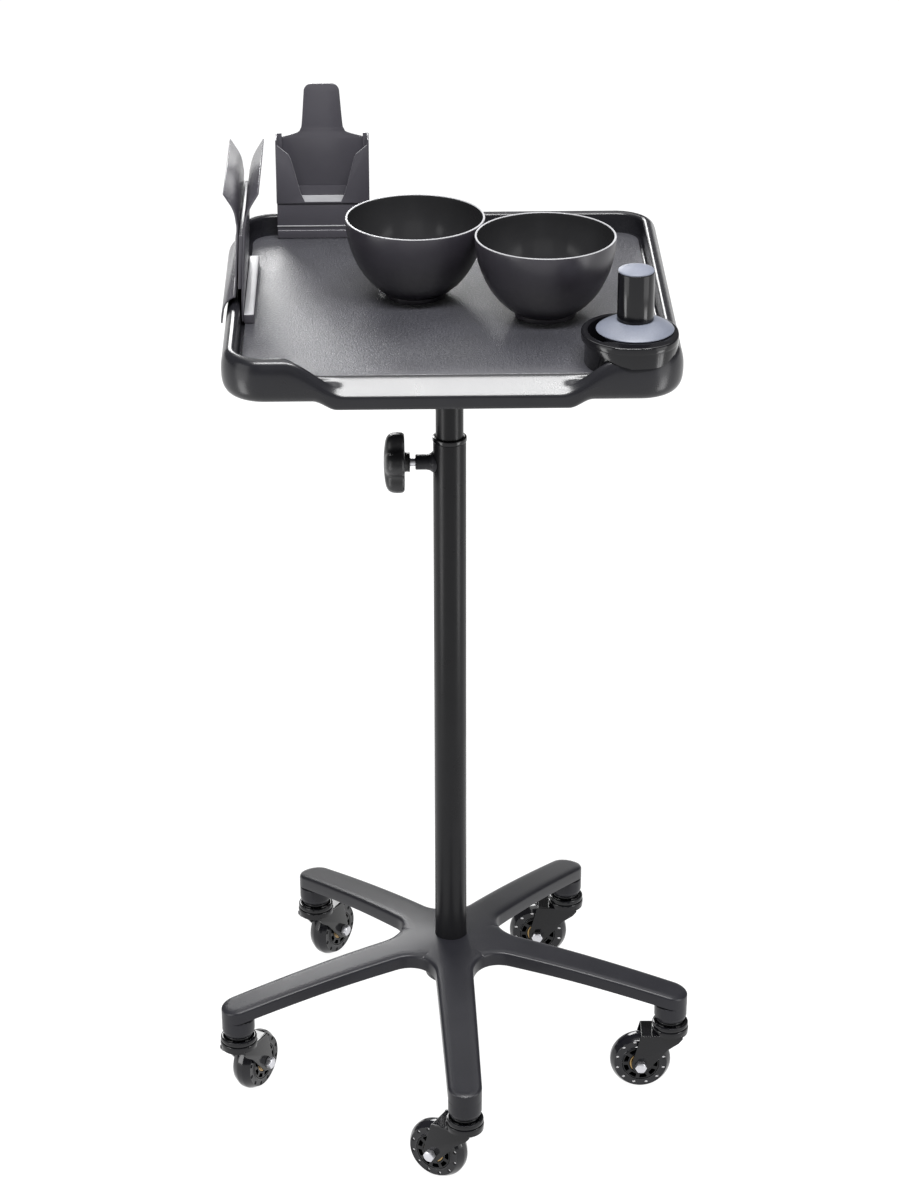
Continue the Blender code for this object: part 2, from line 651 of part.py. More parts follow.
def floor_outline(edge):
    """The tray's plan, drawn in by the given distance."""
    radius = CORNER_RADIUS - edge
    cx = TRAY_HALF_WIDTH - CORNER_RADIUS
    low, high = TRAY_FRONT + CORNER_RADIUS, TRAY_REAR - CORNER_RADIUS
    outline = []
    for x, y, start in ((cx, low, -90), (cx, high, 0), (-cx, high, 90), (-cx, low, 180)):
        for i in range(7):
            a = math.radians(start + 15.0 * i)
            outline.append((x + radius * math.cos(a), y + radius * math.sin(a)))
    return outline


def tray_mat():
    """Grained mat that lies on the tray's floor, inside the rim."""
    return prism([floor_outline(0.0179)], FLOOR_Z - MAT_THICKNESS, FLOOR_Z)


def at_screws(mesh):
    turns = [2 * math.pi * (i + 0.5) / SCREW_COUNT for i in range(SCREW_COUNT)]
    return [moved(mesh, SCREW_CIRCLE * math.cos(a), SCREW_CIRCLE * math.sin(a)) for a in turns]


def build_tray(mast):
    under = BRACKET_TOP - 0.0030
    socket = MAST_RADIUS + GAP
    bracket = turned([(0, BRACKET_TOP), (0.0595, BRACKET_TOP), (0.0600, under), (0.0205, under),
                      (0.0172, under - 0.0035), (0.0170, BRACKET_LOW), (socket, BRACKET_LOW),
                      (socket, MAST_TOP + GAP), (0, MAST_TOP + GAP)])
    hole = turned([(0, 0.83), (0.0027, 0.83), (0.0027, 0.81), (0, 0.81)], 10)
    bracket = combined(bracket, [merged(at_screws(hole))], "DIFFERENCE")
    node("tray_bracket", bracket, LOOK["powder_coat"], mast)
    head_top = under - GAP
    screw = turned([(0, 0.8250), (0.0022, 0.8250), (0.0022, head_top), (0.0045, head_top),
                    (0.0038, head_top - 0.0028), (0, head_top - 0.0028)], 10)
    for number, mesh in enumerate(at_screws(screw), 1):
        node(f"bracket_screw_{number}", mesh, LOOK["zinc"], mast)
    node("tray_body", tray_body(), LOOK["satin_plastic"], mast)
    node("tray_mat", tray_mat(), LOOK["grained_mat"], mast)


# ---------------------------------------------------------------- what stands on the tray
def bowl_mesh():
    """Round tint bowl on a foot ring; its wall is part of an ellipse."""
    low = 0.0040
    depth = (BOWL_HEIGHT - low) / math.sqrt(1.0 - (BOWL_FOOT_RADIUS / BOWL_RADIUS) ** 2)

    def wall(z, radius):
        return radius * math.sqrt(1.0 - ((BOWL_HEIGHT - z) / depth) ** 2)

    heights = [low + (BOWL_HEIGHT - 0.001 - low) * t for t in (1.0, 0.66, 0.38, 0.18, 0.05)]
    outside = [(wall(z, BOWL_RADIUS), z) for z in heights]
    foot = [(BOWL_FOOT_RADIUS, low), (BOWL_FOOT_RADIUS, GAP), (BOWL_FOOT_RADIUS - 0.0025, GAP),
            (0.0, 0.0026)]
    inside = [(0.0, 0.0068)]
    for z in reversed(heights[:-1]):
        inside.append((wall(z, BOWL_RADIUS) - BOWL_WALL, z + BOWL_WALL * (1.0 - z / BOWL_HEIGHT)))
    inside[-1] = (BOWL_RADIUS - BOWL_WALL, BOWL_HEIGHT - 0.0006)
    crest = [(BOWL_RADIUS - 0.0012, BOWL_HEIGHT)]
    return turned(inside + crest + outside + foot, 26)


def strip(path, thickness, start, end, axis):
    """A bent sheet: its section follows a path of (across, up) points and runs along an axis."""
    left, right = [], []
    for i, (a, z) in enumerate(path):
        before, after = path[max(0, i - 1)], path[min(len(path) - 1, i + 1)]
        da, dz = after[0] - before[0], after[1] - before[1]
        length = math.hypot(da, dz)
        na, nz = -dz / length * thickness / 2, da / length * thickness / 2
        left.append((a + na, z + nz))
        right.append((a - na, z - nz))
    section = left + list(reversed(right))
    rings = []
    for along in (start, end):
        if axis == "Y":
            rings.append([(a, along, z) for a, z in section])
        else:
            rings.append([(along, a, z) for a, z in section])
    return loft(rings)


def cuboid(x, y, z):
    """A block between two limits along each axis."""
    corners = [(x[0], y[0]), (x[1], y[0]), (x[1], y[1]), (x[0], y[1])]
    return loft([[(a, b, z[0]) for a, b in corners], [(a, b, z[1]) for a, b in corners]])


def build_side_holder(mast):
    """Slot for foils on the left rim: two flared plates on a core bar, hooked over the rim."""
    start, end = SIDE_HOLDER_Y
    outer = strip([(-0.2060, 0.9590), (-0.2008, 0.9500), (-0.1970, 0.9410), (-0.1953, 0.9330),
                   (-0.1952, 0.9200), (-0.1985, 0.8640), (-0.2005, 0.8590), (-0.2050, 0.8560),
                   (-0.2090, 0.8500), (-0.2112, 0.8420), (-0.2120, 0.8330)],
                  HOLDER_SHEET, start, end, "Y")
    node("side_holder_outer_plate", outer, LOOK["sheet_plastic"], mast)
    inner = strip([(-0.1750, 0.9590), (-0.1800, 0.9500), (-0.1845, 0.9410), (-0.1876, 0.9330),
                   (-0.1890, 0.9200), (-0.1922, 0.8560), (-0.1924, 0.8345)],
                  HOLDER_SHEET, start, end, "Y")
    bar = cuboid((-0.1922, -0.1820), (start, end), (FLOOR_Z + GAP, 0.8415))
    node("side_holder_inner_plate", combined(inner, [bar], "UNION"), LOOK["sheet_plastic"], mast)
    core = loft([[(-0.1960, y, 0.8660), (-0.1929, y, 0.8660), (-0.1900, y, 0.9180),
                  (-0.1940, y, 0.9180)] for y in (start + 0.001, end - 0.001)])
    node("side_holder_core", core, LOOK["sheet_plastic"], mast)


def mirrored_outline(half, middle):
    """A closed outline from its right half, mirrored about an upright line."""
    return half + [(2 * middle - x, z) for x, z in reversed(half)]


def build_rear_holder(mast):
    """Pocket for combs and clips on the rear rim, with a tongue behind it."""
    left, right = REAR_HOLDER_X
    middle = (left + right) / 2
    half = (right - left) / 2
    front, back = 0.1905, 0.2125
    pocket_low, pocket_high = 0.8680, 0.9340
    shoulder, tip, round_off = 0.9285, 0.9838, 0.0080

    tongue = [(middle + half, 0.8600), (middle + half, shoulder),
              (middle + 0.0255, shoulder + 0.0055), (middle + 0.0215, shoulder + 0.0095),
              (middle + 0.0200, shoulder + 0.0155)]
    for degrees in range(0, 91, 18):
        a = math.radians(degrees)
        tongue.append((middle + 0.0095 + round_off * math.cos(a),
                       tip - round_off + round_off * math.sin(a)))
    sheet = stood_on_y(prism([mirrored_outline(tongue, middle)],
                             -HOLDER_SHEET / 2, HOLDER_SHEET / 2))
    sheet = moved(sheet, y=back + HOLDER_SHEET / 2)
    hook = strip([(back + 0.0008, 0.8620), (back + 0.0020, 0.8580), (TRAY_REAR - 0.0010, 0.8545),
                  (TRAY_REAR + 0.0020, 0.8490), (TRAY_REAR + 0.0030, 0.8370)],
                 HOLDER_SHEET, left + 0.0004, right - 0.0004, "X")
    node("rear_holder_back", combined(sheet, [hook], "UNION"), LOOK["sheet_plastic"], mast)

    inner_back = back - GAP
    outside = cuboid((left, right), (front, inner_back), (pocket_low, pocket_high))
    inside = cuboid((left + HOLDER_SHEET, right - HOLDER_SHEET),
                    (front + HOLDER_SHEET, inner_back - HOLDER_SHEET), (pocket_low + 0.0020, 1.0))
    low_notch = 0.8690 + 0.0012
    notch = [(middle + half - 0.0012, 1.0), (middle + half - 0.0012, 0.9285),
             (middle + half - 0.0125, 0.9190), (middle + half - 0.0150, 0.9140),
             (middle + half - 0.0240, 0.8790), (middle + half - 0.0280, low_notch)]
    opening = stood_on_y(prism([mirrored_outline(notch, middle)], -0.005, 0.005))
    opening = moved(opening, y=front)
    rear_window = cuboid((left + 0.006, right - 0.006), (inner_back - 0.005, inner_back + 0.005),
                         (pocket_low + 0.012, 1.0))
    pocket = combined(outside, [inside, opening, rear_window], "DIFFERENCE")
    node("rear_holder_pocket", pocket, LOOK["sheet_plastic"], mast)

    inset = 0.0005
    riser = cuboid((left + inset, right - inset), (front + 0.0012, front + 0.0042),
                   (FLOOR_Z + GAP, pocket_low - GAP))
    bar = cuboid((left + inset, right - inset), (front - 0.0004, front + 0.0100),
                 (FLOOR_Z + GAP, FLOOR_Z + 0.0090))
    node("rear_holder_foot", combined(riser, [bar], "UNION"), LOOK["sheet_plastic"], mast)


def corner_cup():
    """Oval cup that stands in the tray's front corner and laps over its rim."""
    flange_low, skirt_low = POT_RIM_Z - 0.0070, FLOOR_Z + 0.0100
    recess, wall = 0.0034, 0.0026
    flange = prism([cup_outline(0.0)], flange_low, POT_RIM_Z)
    body = prism([cup_outline(recess)], FLOOR_Z + GAP, flange_low + 0.002)
    skirt = prism([cup_outline(0.0001)], skirt_low, flange_low + 0.002)
    slanted = loft([[(0.05, y, 0.70), (0.166, y, 0.70), (0.166, y, skirt_low + 0.001),
                     (0.136, y, flange_low), (0.05, y, flange_low)] for y in (-0.25, -0.05)])
    skirt = combined(skirt, [slanted], "DIFFERENCE")
    hollow = prism([cup_outline(recess + wall)], FLOOR_Z + 0.0030, 1.0)
    hollow = combined(hollow, [prism([floor_outline(0.0164)], FLOOR_Z, 1.1)], "INTERSECT")
    cup = combined(flange, [body, skirt], "UNION")
    return combined(cup, [hollow, corner_clearance(skirt_low)], "DIFFERENCE")


def corner_clearance(skirt_low):
    """The tray's edge as a solid, a little larger, to cut from what laps over it."""
    room = 0.0012
    outside = [(-0.030, skirt_low - FLOOR_Z), (-0.030, -0.045)]
    full = [(0.0142, 0.0)] + FULL_RIM[2:8] + outside
    low = [(0.0172, 0.0)] + LOW_LIP[2:8] + outside
    rings = []
    for i, (a, b) in enumerate(zip(full, low)):
        ring = []
        for (x, y), (dx, dy) in tray_plan():
            across = abs(x) if dy == -1.0 else TRAY_HALF_WIDTH
            reach_to = LIP_INNER_AT if i < 4 else LIP_OUTER_AT
            t = smooth_step(across, LIP_FULL_AT, reach_to) if i < 7 else 0.0
            inset = a[0] + (b[0] - a[0]) * t
            height = a[1] + (b[1] - a[1]) * t
            grow = (-room if i < 3 else room) if i < 7 else 0.0
            lift = 0.0 if i == 0 else room
            ring.append((x + dx * (CORNER_RADIUS - inset + grow),
                         y + dy * (CORNER_RADIUS - inset + grow), FLOOR_Z + height + lift))
        rings.append(ring)
    return loft(rings + [rings[0]], cap_ends=False)


def build_corner_pot(mast):
    """Cup, rubber dome, post and cap."""
    node("corner_cup", corner_cup(), LOOK["gloss_plastic"], mast)
    pot = empty("corner_pot", mast, POT_X, POT_Y)
    dome_low = FLOOR_Z + 0.0030 + GAP
    on_rim = POT_RIM_Z + GAP
    dome = turned([(0, 0.8722), (0.0175, 0.8720), (0.0215, 0.8708), (0.0290, 0.8674),
                   (0.0342, 0.8643), (0.0354, 0.8631), (0.0350, on_rim), (0.0262, on_rim),
                   (0.0258, dome_low), (0, dome_low)], SIDES)
    node("corner_pot_dome", dome, LOOK["slate_rubber"], pot)
    post_low = 0.8722 + GAP
    post_high = 0.9175
    post = turned([(0, post_high), (0.0164, post_high), (0.0168, post_low), (0, post_low)], SIDES)
    node("corner_pot_post", post, LOOK["gloss_plastic"], pot)
    cap_low = post_high + GAP
    cap = turned([(0, 0.9222), (0.0060, 0.9217), (0.0120, 0.9206), (0.0162, cap_low + 0.0012),
                  (0.0164, cap_low), (0, cap_low)], SIDES)
    node("corner_pot_cap", cap, LOOK["slate_rubber"], pot)


def build_bowls(mast):
    for name, (x, y) in BOWL_PLACES.items():
        node(name, bowl_mesh(), LOOK["bowl_plastic"], mast, x, y, FLOOR_Z)


# ---------------------------------------------------------------- assembly
for old in list(bpy.data.objects):
    bpy.data.objects.remove(old)

parts = bpy.data.collections.new("salon_trolley")
bpy.context.scene.collection.children.link(parts)

LOOK = {
    "powder_coat": material("powder_coat", (0.020, 0.020, 0.022), 0.42),
    "satin_plastic": material("satin_plastic", (0.012, 0.012, 0.013), 0.35),
    "gloss_plastic": material("gloss_plastic", (0.008, 0.008, 0.009), 0.15),
    "knob_plastic": material("knob_plastic", (0.012, 0.012, 0.013), 0.40),
    "sheet_plastic": material("sheet_plastic", (0.020, 0.020, 0.022), 0.30),
    "bowl_plastic": material("bowl_plastic", (0.010, 0.010, 0.011), 0.30),
    "grained_mat": material("grained_mat", (0.040, 0.040, 0.045), 0.55),
    "slate_rubber": material("slate_rubber", (0.130, 0.145, 0.175), 0.50),
    "smoky_rubber": material("smoky_rubber", (0.020, 0.020, 0.024), 0.12),
    "nylon": material("nylon", (0.600, 0.600, 0.580), 0.50),
    "zinc": material("zinc", (0.800, 0.800, 0.820), 0.25, 1.0),
    "brass": material("brass", (0.700, 0.520, 0.250), 0.25, 1.0),
}

trolley = empty("trolley", None, COLUMN_X, COLUMN_Y)
build_base(trolley)
build_column(trolley)
build_casters(trolley)
tray_mast = empty("mast", trolley)
build_mast(tray_mast)
build_tray(tray_mast)
build_bowls(tray_mast)
build_side_holder(tray_mast)
build_rear_holder(tray_mast)
build_corner_pot(tray_mast)
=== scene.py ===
"""Fine surfaces, materials, light and camera for the rolling salon trolley."""
import json
import math

import bmesh
import bpy
from mathutils import Matrix, Vector


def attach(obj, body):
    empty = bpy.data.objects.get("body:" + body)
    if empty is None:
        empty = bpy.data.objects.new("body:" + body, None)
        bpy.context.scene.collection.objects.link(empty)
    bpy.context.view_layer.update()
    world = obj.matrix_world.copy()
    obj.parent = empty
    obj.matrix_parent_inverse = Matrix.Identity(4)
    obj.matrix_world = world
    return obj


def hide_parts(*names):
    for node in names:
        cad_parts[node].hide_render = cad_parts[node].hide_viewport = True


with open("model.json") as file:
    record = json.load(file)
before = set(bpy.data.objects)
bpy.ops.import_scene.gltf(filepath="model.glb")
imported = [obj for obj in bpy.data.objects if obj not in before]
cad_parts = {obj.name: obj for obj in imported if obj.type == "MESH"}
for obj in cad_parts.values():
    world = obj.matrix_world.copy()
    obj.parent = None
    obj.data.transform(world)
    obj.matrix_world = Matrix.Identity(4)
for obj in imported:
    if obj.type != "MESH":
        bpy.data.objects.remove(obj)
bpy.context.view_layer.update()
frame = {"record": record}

JOINTS = {joint["name"]: joint for joint in frame["record"]["behaviour"]["joints"]}
COLUMN = Vector((*JOINTS["tray_turn"]["pos_m"][:2], 0.0))
SCENE = bpy.context.scene


# ---------------------------------------------------------------- mesh helpers
def linked(name, data):
    obj = bpy.data.objects.new(name, data)
    SCENE.collection.objects.link(obj)
    return obj


def to_mesh(bm, weld=1e-6):
    """A mesh from bm, its near vertices joined and its normals turned outwards."""
    bmesh.ops.remove_doubles(bm, verts=bm.verts, dist=weld)
    bmesh.ops.recalc_face_normals(bm, faces=bm.faces)
    mesh = bpy.data.meshes.new("piece")
    bm.to_mesh(mesh)
    bm.free()
    return mesh


def rounded(points, radius=0.0005, steps=3, closed=False):
    """A polyline with its corners rounded off."""
    out = []
    count = len(points)
    for i, point in enumerate(points):
        here = Vector(point)
        if not closed and i in (0, count - 1):
            out.append(tuple(here))
            continue
        before, after = Vector(points[i - 1]), Vector(points[(i + 1) % count])
        a, b = before - here, after - here
        if a.length < 1e-7 or b.length < 1e-7 or a.angle(b) > math.radians(165):
            out.append(tuple(here))
            continue
        cut = min(radius / math.tan(a.angle(b) / 2), 0.45 * a.length, 0.45 * b.length)
        start, end = here + a.normalized() * cut, here + b.normalized() * cut
        for k in range(steps + 1):
            t = k / steps
            out.append(tuple(start * (1 - t) ** 2 + here * 2 * t * (1 - t) + end * t ** 2))
    return out


def smoothed(points, steps=4):
    """Points on a Catmull-Rom curve through the given ones."""
    out = []
    last = len(points) - 1
    for i in range(last):
        p0, p1 = Vector(points[max(0, i - 1)]), Vector(points[i])
        p2, p3 = Vector(points[i + 1]), Vector(points[min(last, i + 2)])
        for k in range(steps):
            t = k / steps
            out.append(tuple(0.5 * (2 * p1 + (p2 - p0) * t + (2 * p0 - 5 * p1 + 4 * p2 - p3) * t * t
                                    + (3 * p1 - p0 - 3 * p2 + p3) * t ** 3)))
    out.append(tuple(points[last]))
    return out


def bridge(bm, pairs):
    """Faces between pairs of rings; a ring of one point closes to a tip."""
    for a, b in pairs:
        sides = max(len(a), len(b))
        for i in range(sides):
            j = (i + 1) % sides
            ring = [a[0]] if len(a) == 1 else [a[i], a[j]]
            ring += [b[0]] if len(b) == 1 else [b[j], b[i]]
            if len(ring) > 2:
                bm.faces.new(ring)


def turned(profile, sides=72):
    """A body turned about Z from (radius, height) points."""
    bm = bmesh.new()
    rows = []
    for r, z in profile:
        if r < 1e-7:
            rows.append([bm.verts.new((0.0, 0.0, z))])
        else:
            rows.append([bm.verts.new((r * math.cos(2 * math.pi * i / sides),
                                       r * math.sin(2 * math.pi * i / sides), z))
                         for i in range(sides)])
    pairs = list(zip(rows, rows[1:]))
    if len(rows[0]) > 1 or len(rows[-1]) > 1:
        pairs.append((rows[-1], rows[0]))
    bridge(bm, pairs)
    return to_mesh(bm)


def loft(rings, loop=False):
    """A skin over rings of equal length, capped at both ends or closed on itself."""
    bm = bmesh.new()
    rows = [[bm.verts.new(p) for p in ring] for ring in rings]
    if loop:
        rows.append(rows[0])
    for a, b in zip(rows, rows[1:]):
        for i in range(len(a)):
            j = (i + 1) % len(a)
            bm.faces.new((a[i], a[j], b[j], b[i]))
    if not loop:
        bm.faces.new(list(reversed(rows[0])))
        bm.faces.new(rows[-1])
    return to_mesh(bm)


def evaluated(obj, helpers=()):
    """The object's mesh with its modifiers applied; the object and its helpers are removed."""
    graph = bpy.context.evaluated_depsgraph_get()
    mesh = bpy.data.meshes.new_from_object(obj.evaluated_get(graph))
    for used in (obj, *helpers):
        bpy.data.objects.remove(used)
    return mesh


def plate(outlines, low, high, edge=0.0004):
    """A flat plate with softened edges, from closed outlines in XY; later ones are holes."""
    curve = bpy.data.curves.new("outline", "CURVE")
    curve.dimensions = "2D"
    curve.fill_mode = "BOTH"
    curve.extrude = (high - low) / 2 - edge
    curve.bevel_depth = edge
    curve.bevel_resolution = 2
    curve.offset = -edge
    for outline in outlines:
        spline = curve.splines.new("POLY")
        spline.points.add(len(outline) - 1)
        spline.use_cyclic_u = True
        for point, (x, y) in zip(spline.points, outline):
            point.co = (x, y, 0.0, 1.0)
    mesh = evaluated(linked("scratch", curve))
    bm = bmesh.new()
    bm.from_mesh(mesh)
    mesh = to_mesh(bm, 1e-5)
    mesh.transform(Matrix.Translation((0.0, 0.0, (low + high) / 2)))
    return mesh


def moved(mesh, x=0.0, y=0.0, z=0.0, turn=0.0, tilt=0.0):
    copy = mesh.copy()
    copy.transform(Matrix.Translation((x, y, z)) @ Matrix.Rotation(turn, 4, "Z")
                   @ Matrix.Rotation(tilt, 4, "X"))
    return copy


def merged(meshes):
    bm = bmesh.new()
    for mesh in meshes:
        bm.from_mesh(mesh)
    out = bpy.data.meshes.new("merged")
    bm.to_mesh(out)
    bm.free()
    return out


def combined(base, others, operation):
    """The Boolean of a mesh with one or more others."""
    obj = linked("scratch", base)
    helpers = [linked("scratch", other) for other in others]
    for helper in helpers:
        cut = obj.modifiers.new("cut", "BOOLEAN")
        cut.object = helper
        cut.operation = operation
        cut.solver = "EXACT"
    return evaluated(obj, helpers)


def softened(mesh, width, angle=35):
    """The mesh with a small bevel on every edge sharper than the angle."""
    obj = linked("scratch", mesh)
    bevel = obj.modifiers.new("soft", "BEVEL")
    bevel.width = width
    bevel.segments = 2
    bevel.limit_method = "ANGLE"
    bevel.angle_limit = math.radians(angle)
    bevel.use_clamp_overlap = True
    return evaluated(obj)


def cuboid(x, y, z, edge=0.0004):
    corners = rounded([(x[0], y[0]), (x[1], y[0]), (x[1], y[1]), (x[0], y[1])], edge, 3, True)
    return plate([corners], z[0], z[1], edge)


def smooth_step(value, start, end):
    t = min(1.0, max(0.0, (value - start) / (end - start)))
    return t * t * (3.0 - 2.0 * t)


def mixed(a, b, t):
    return a + (b - a) * t


def piece(name, mesh, look, body, nodes=(), at=None, sharp=38):
    """A finished piece: smooth shaded, with its material, riding on its body."""
    looks = look if isinstance(look, (list, tuple)) else [look]
    mesh = mesh.copy()
    mesh.materials.clear()
    for one in looks:
        mesh.materials.append(one)
    mesh.shade_smooth()
    mesh.set_sharp_from_angle(angle=math.radians(sharp))
    mesh.name = name
    mesh.transform(at if at is not None else Matrix.Translation(COLUMN))
    obj = linked(name, mesh)
    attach(obj, body)
    if nodes:
        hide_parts(*nodes)
    return obj


# ---------------------------------------------------------------- materials
NOISE_LOW, NOISE_HIGH = 0.3, 0.7        # the part of a noise's range that holds most of its values
BROAD_SCALE, BROAD_DETAIL = 22.0, 5.0   # patches a few centimetres wide


def surface(name, colour, roughness, metallic=0.0, grain=0.0, grain_size=0.001, spread=0.05,
            tint=0.12, speckle=0.0, relief=0.0003, **sockets):
    """A Principled surface whose colour, roughness and relief vary a little over it."""
    made = bpy.data.materials.new(name + "_look")
    made["slot"] = name
    made.use_nodes = True
    nodes, links = made.node_tree.nodes, made.node_tree.links
    shader = nodes["Principled BSDF"]
    shader.inputs["Metallic"].default_value = metallic
    for key, value in sockets.items():
        shader.inputs[key.replace("_", " ")].default_value = value
    place = nodes.new("ShaderNodeTexCoord")

    def noise(scale, detail):
        node = nodes.new("ShaderNodeTexNoise")
        node.inputs["Scale"].default_value = scale
        node.inputs["Detail"].default_value = detail
        links.new(place.outputs["Object"], node.inputs["Vector"])
        return node.outputs["Fac"]

    def between(value, low, high):
        node = nodes.new("ShaderNodeMapRange")
        node.inputs["From Min"].default_value = NOISE_LOW
        node.inputs["From Max"].default_value = NOISE_HIGH
        node.inputs["To Min"].default_value = low
        node.inputs["To Max"].default_value = high
        links.new(value, node.inputs["Value"])
        return node.outputs["Result"]

    broad = noise(BROAD_SCALE, BROAD_DETAIL)
    matt = between(broad, roughness - spread, roughness + spread)
    ramp = nodes.new("ShaderNodeValToRGB")
    ends = ramp.color_ramp.elements
    for end, at, gain in ((ends[0], NOISE_LOW, 1 - tint), (ends[1], NOISE_HIGH, 1 + tint)):
        end.position = at
        end.color = (*[min(1.0, c * gain) for c in colour], 1.0)
    links.new(broad, ramp.inputs["Fac"])
    shade = ramp.outputs["Color"]
    if speckle:
        dots = between(noise(0.7 / grain_size, 2.0), 1.0 - speckle, 1.0 + speckle)
        scaled = nodes.new("ShaderNodeVectorMath")
        scaled.operation = "SCALE"
        links.new(shade, scaled.inputs[0])
        links.new(dots, scaled.inputs["Scale"])
        shade = scaled.outputs["Vector"]
        patchy = nodes.new("ShaderNodeMath")
        patchy.operation = "MULTIPLY"
        links.new(matt, patchy.inputs[0])
        links.new(dots, patchy.inputs[1])
        matt = patchy.outputs["Value"]
    links.new(matt, shader.inputs["Roughness"])
    links.new(shade, shader.inputs["Base Color"])
    if grain:
        height = noise(1.0 / grain_size, 3.0)
        bump = nodes.new("ShaderNodeBump")
        bump.inputs["Strength"].default_value = grain
        bump.inputs["Distance"].default_value = relief
        links.new(height, bump.inputs["Height"])
        links.new(bump.outputs["Normal"], shader.inputs["Normal"])
    return made


POWDER = surface("powder_coat", (0.012, 0.012, 0.015), 0.34, grain=0.10, grain_size=0.0011,
                 spread=0.02, Specular_IOR_Level=0.25)
TUBE = surface("powder_coat", (0.009, 0.009, 0.010), 0.30, grain=0.06, grain_size=0.0011,
               Specular_IOR_Level=0.16)
SATIN = surface("satin_plastic", (0.009, 0.009, 0.011), 0.25, spread=0.008, grain=0.004,
                grain_size=0.0010, Specular_IOR_Level=0.32)
GLOSS = surface("gloss_plastic", (0.004, 0.004, 0.005), 0.14, spread=0.03, grain=0.02,
                grain_size=0.002, Specular_IOR_Level=0.32)
KNOB = surface("knob_plastic", (0.012, 0.012, 0.013), 0.36, grain=0.08, grain_size=0.0009,
               Specular_IOR_Level=0.4)
SHEET = surface("sheet_plastic", (0.044, 0.042, 0.050), 0.25, grain=0.004, grain_size=0.0020,
                spread=0.008, tint=0.05)
# Painted highlight: a light grey for the sheet faces that catch the light, such as bar tops, the pocket
# floor and the cut-out's upper edges.
SHEET_HIGHLIGHT = surface("sheet_highlight", (0.230, 0.230, 0.240), 0.34, grain=0.01, grain_size=0.0012)
BOWL_OUT = surface("bowl_plastic", (0.024, 0.022, 0.028), 0.34, grain=0.03, grain_size=0.0010)
BOWL_IN = surface("bowl_inside", (0.017, 0.017, 0.018), 0.17, spread=0.03, grain=0.01,
                  grain_size=0.0020, Specular_IOR_Level=0.25)
# Painted highlight: the bowls' rim tops get a light grey that stands in for the overhead light's bright
# reflection on the rim.
BOWL_RIM_HIGHLIGHT = surface("bowl_rim_highlight", (0.300, 0.300, 0.310), 0.22, spread=0.03, grain=0.01)
MAT = surface("grained_mat", (0.020, 0.020, 0.026), 0.43, grain=1.0, grain_size=0.0014,
              relief=0.0005, spread=0.02, speckle=0.34, Specular_IOR_Level=1.0,
              Sheen_Weight=0.20, Sheen_Roughness=0.35)
SLATE = surface("slate_rubber", (0.108, 0.118, 0.148), 0.45, grain=0.15, grain_size=0.0009,
                speckle=0.10)
SMOKY = surface("smoky_rubber", (0.006, 0.006, 0.008), 0.15, spread=0.03, Coat_Weight=0.15,
                Coat_Roughness=0.06, grain=0.02, grain_size=0.002, Specular_IOR_Level=0.3)
NYLON = surface("nylon", (0.80, 0.80, 0.78), 0.40, tint=0.03, grain=0.03)
# Painted light: the plugs glow white, standing in for the bright background seen through the tyre's
# see-through holes.
GLOWING_PLUG = surface("nylon", (0.90, 0.90, 0.92), 0.35, tint=0.02, grain=0.02,
                Emission_Color=(1, 1, 1, 1), Emission_Strength=0.30)
ZINC = surface("zinc", (0.58, 0.58, 0.61), 0.36, metallic=1.0, tint=0.04, grain=0.05,
               grain_size=0.0006)
BRASS = surface("brass", (0.34, 0.23, 0.10), 0.30, metallic=1.0, tint=0.08, grain=0.03)

# inner CAD pieces that are shown as they are
for node_name, look in {"foot_washer": ZINC, "foot_bolt": ZINC, "clamp_pad": NYLON,
                        "mast_plug": NYLON}.items():
    data = bpy.data.objects[node_name].data
    data.materials.clear()
    data.materials.append(look)


# ---------------------------------------------------------------- base star
ARMS = 5
SECTOR = math.pi / ARMS
STEM_RADIUS = 0.2313                    # from the column to each caster's stem
STEM_BORE = 0.0058
HALF_HUB, HALF_TIP = 0.0375 / 2, 0.0334 / 2
HUB_TOP, ARM_FALL, ARM_BEND = 0.147, 0.037, 1.45
ARM_DEPTH, ARM_WALL = 0.012, 0.0045
EDGE_DROP, EDGE_REACH = 0.003, 0.0055   # the rounding of an arm's upper edges
CROTCH = 0.053                          # from the column to the corner between two arms
FILLET = (CROTCH * math.sin(SECTOR) - HALF_HUB) / (1.0 - math.sin(SECTOR))
FILLET_X = (CROTCH + FILLET) * math.cos(SECTOR)
CROTCH_X = CROTCH * math.cos(SECTOR)
ARM_END = STEM_RADIUS + HALF_TIP
FRONT = JOINTS["caster_1_swivel"]["pos_m"]
FRONT_ARM = math.atan2(FRONT[1] - COLUMN.y, FRONT[0] - COLUMN.x)


def arm_half(x):
    """Half the width of an arm, or of its fifth of the hub, at a distance x along it."""
    if x <= CROTCH_X:
        return x * math.tan(SECTOR)
    if x < FILLET_X:
        rest = FILLET_X - x
        return HALF_HUB + FILLET - math.sqrt(max(0.0, FILLET ** 2 - rest ** 2))
    if x <= STEM_RADIUS:
        t = (x - FILLET_X) / (STEM_RADIUS - FILLET_X)
        return mixed(HALF_HUB, HALF_TIP, t)
    return math.sqrt(max(1e-10, HALF_TIP ** 2 - (x - STEM_RADIUS) ** 2))


def spine(r):
    """Height of the top of the star at a radius r."""
    return HUB_TOP - ARM_FALL * (min(r, ARM_END) / ARM_END) ** ARM_BEND


def side_depth(r):
    """Height of an arm's side wall, a millimetre less at the far end."""
    return ARM_DEPTH - 0.001 * smooth_step(r, 0.06, 0.15)


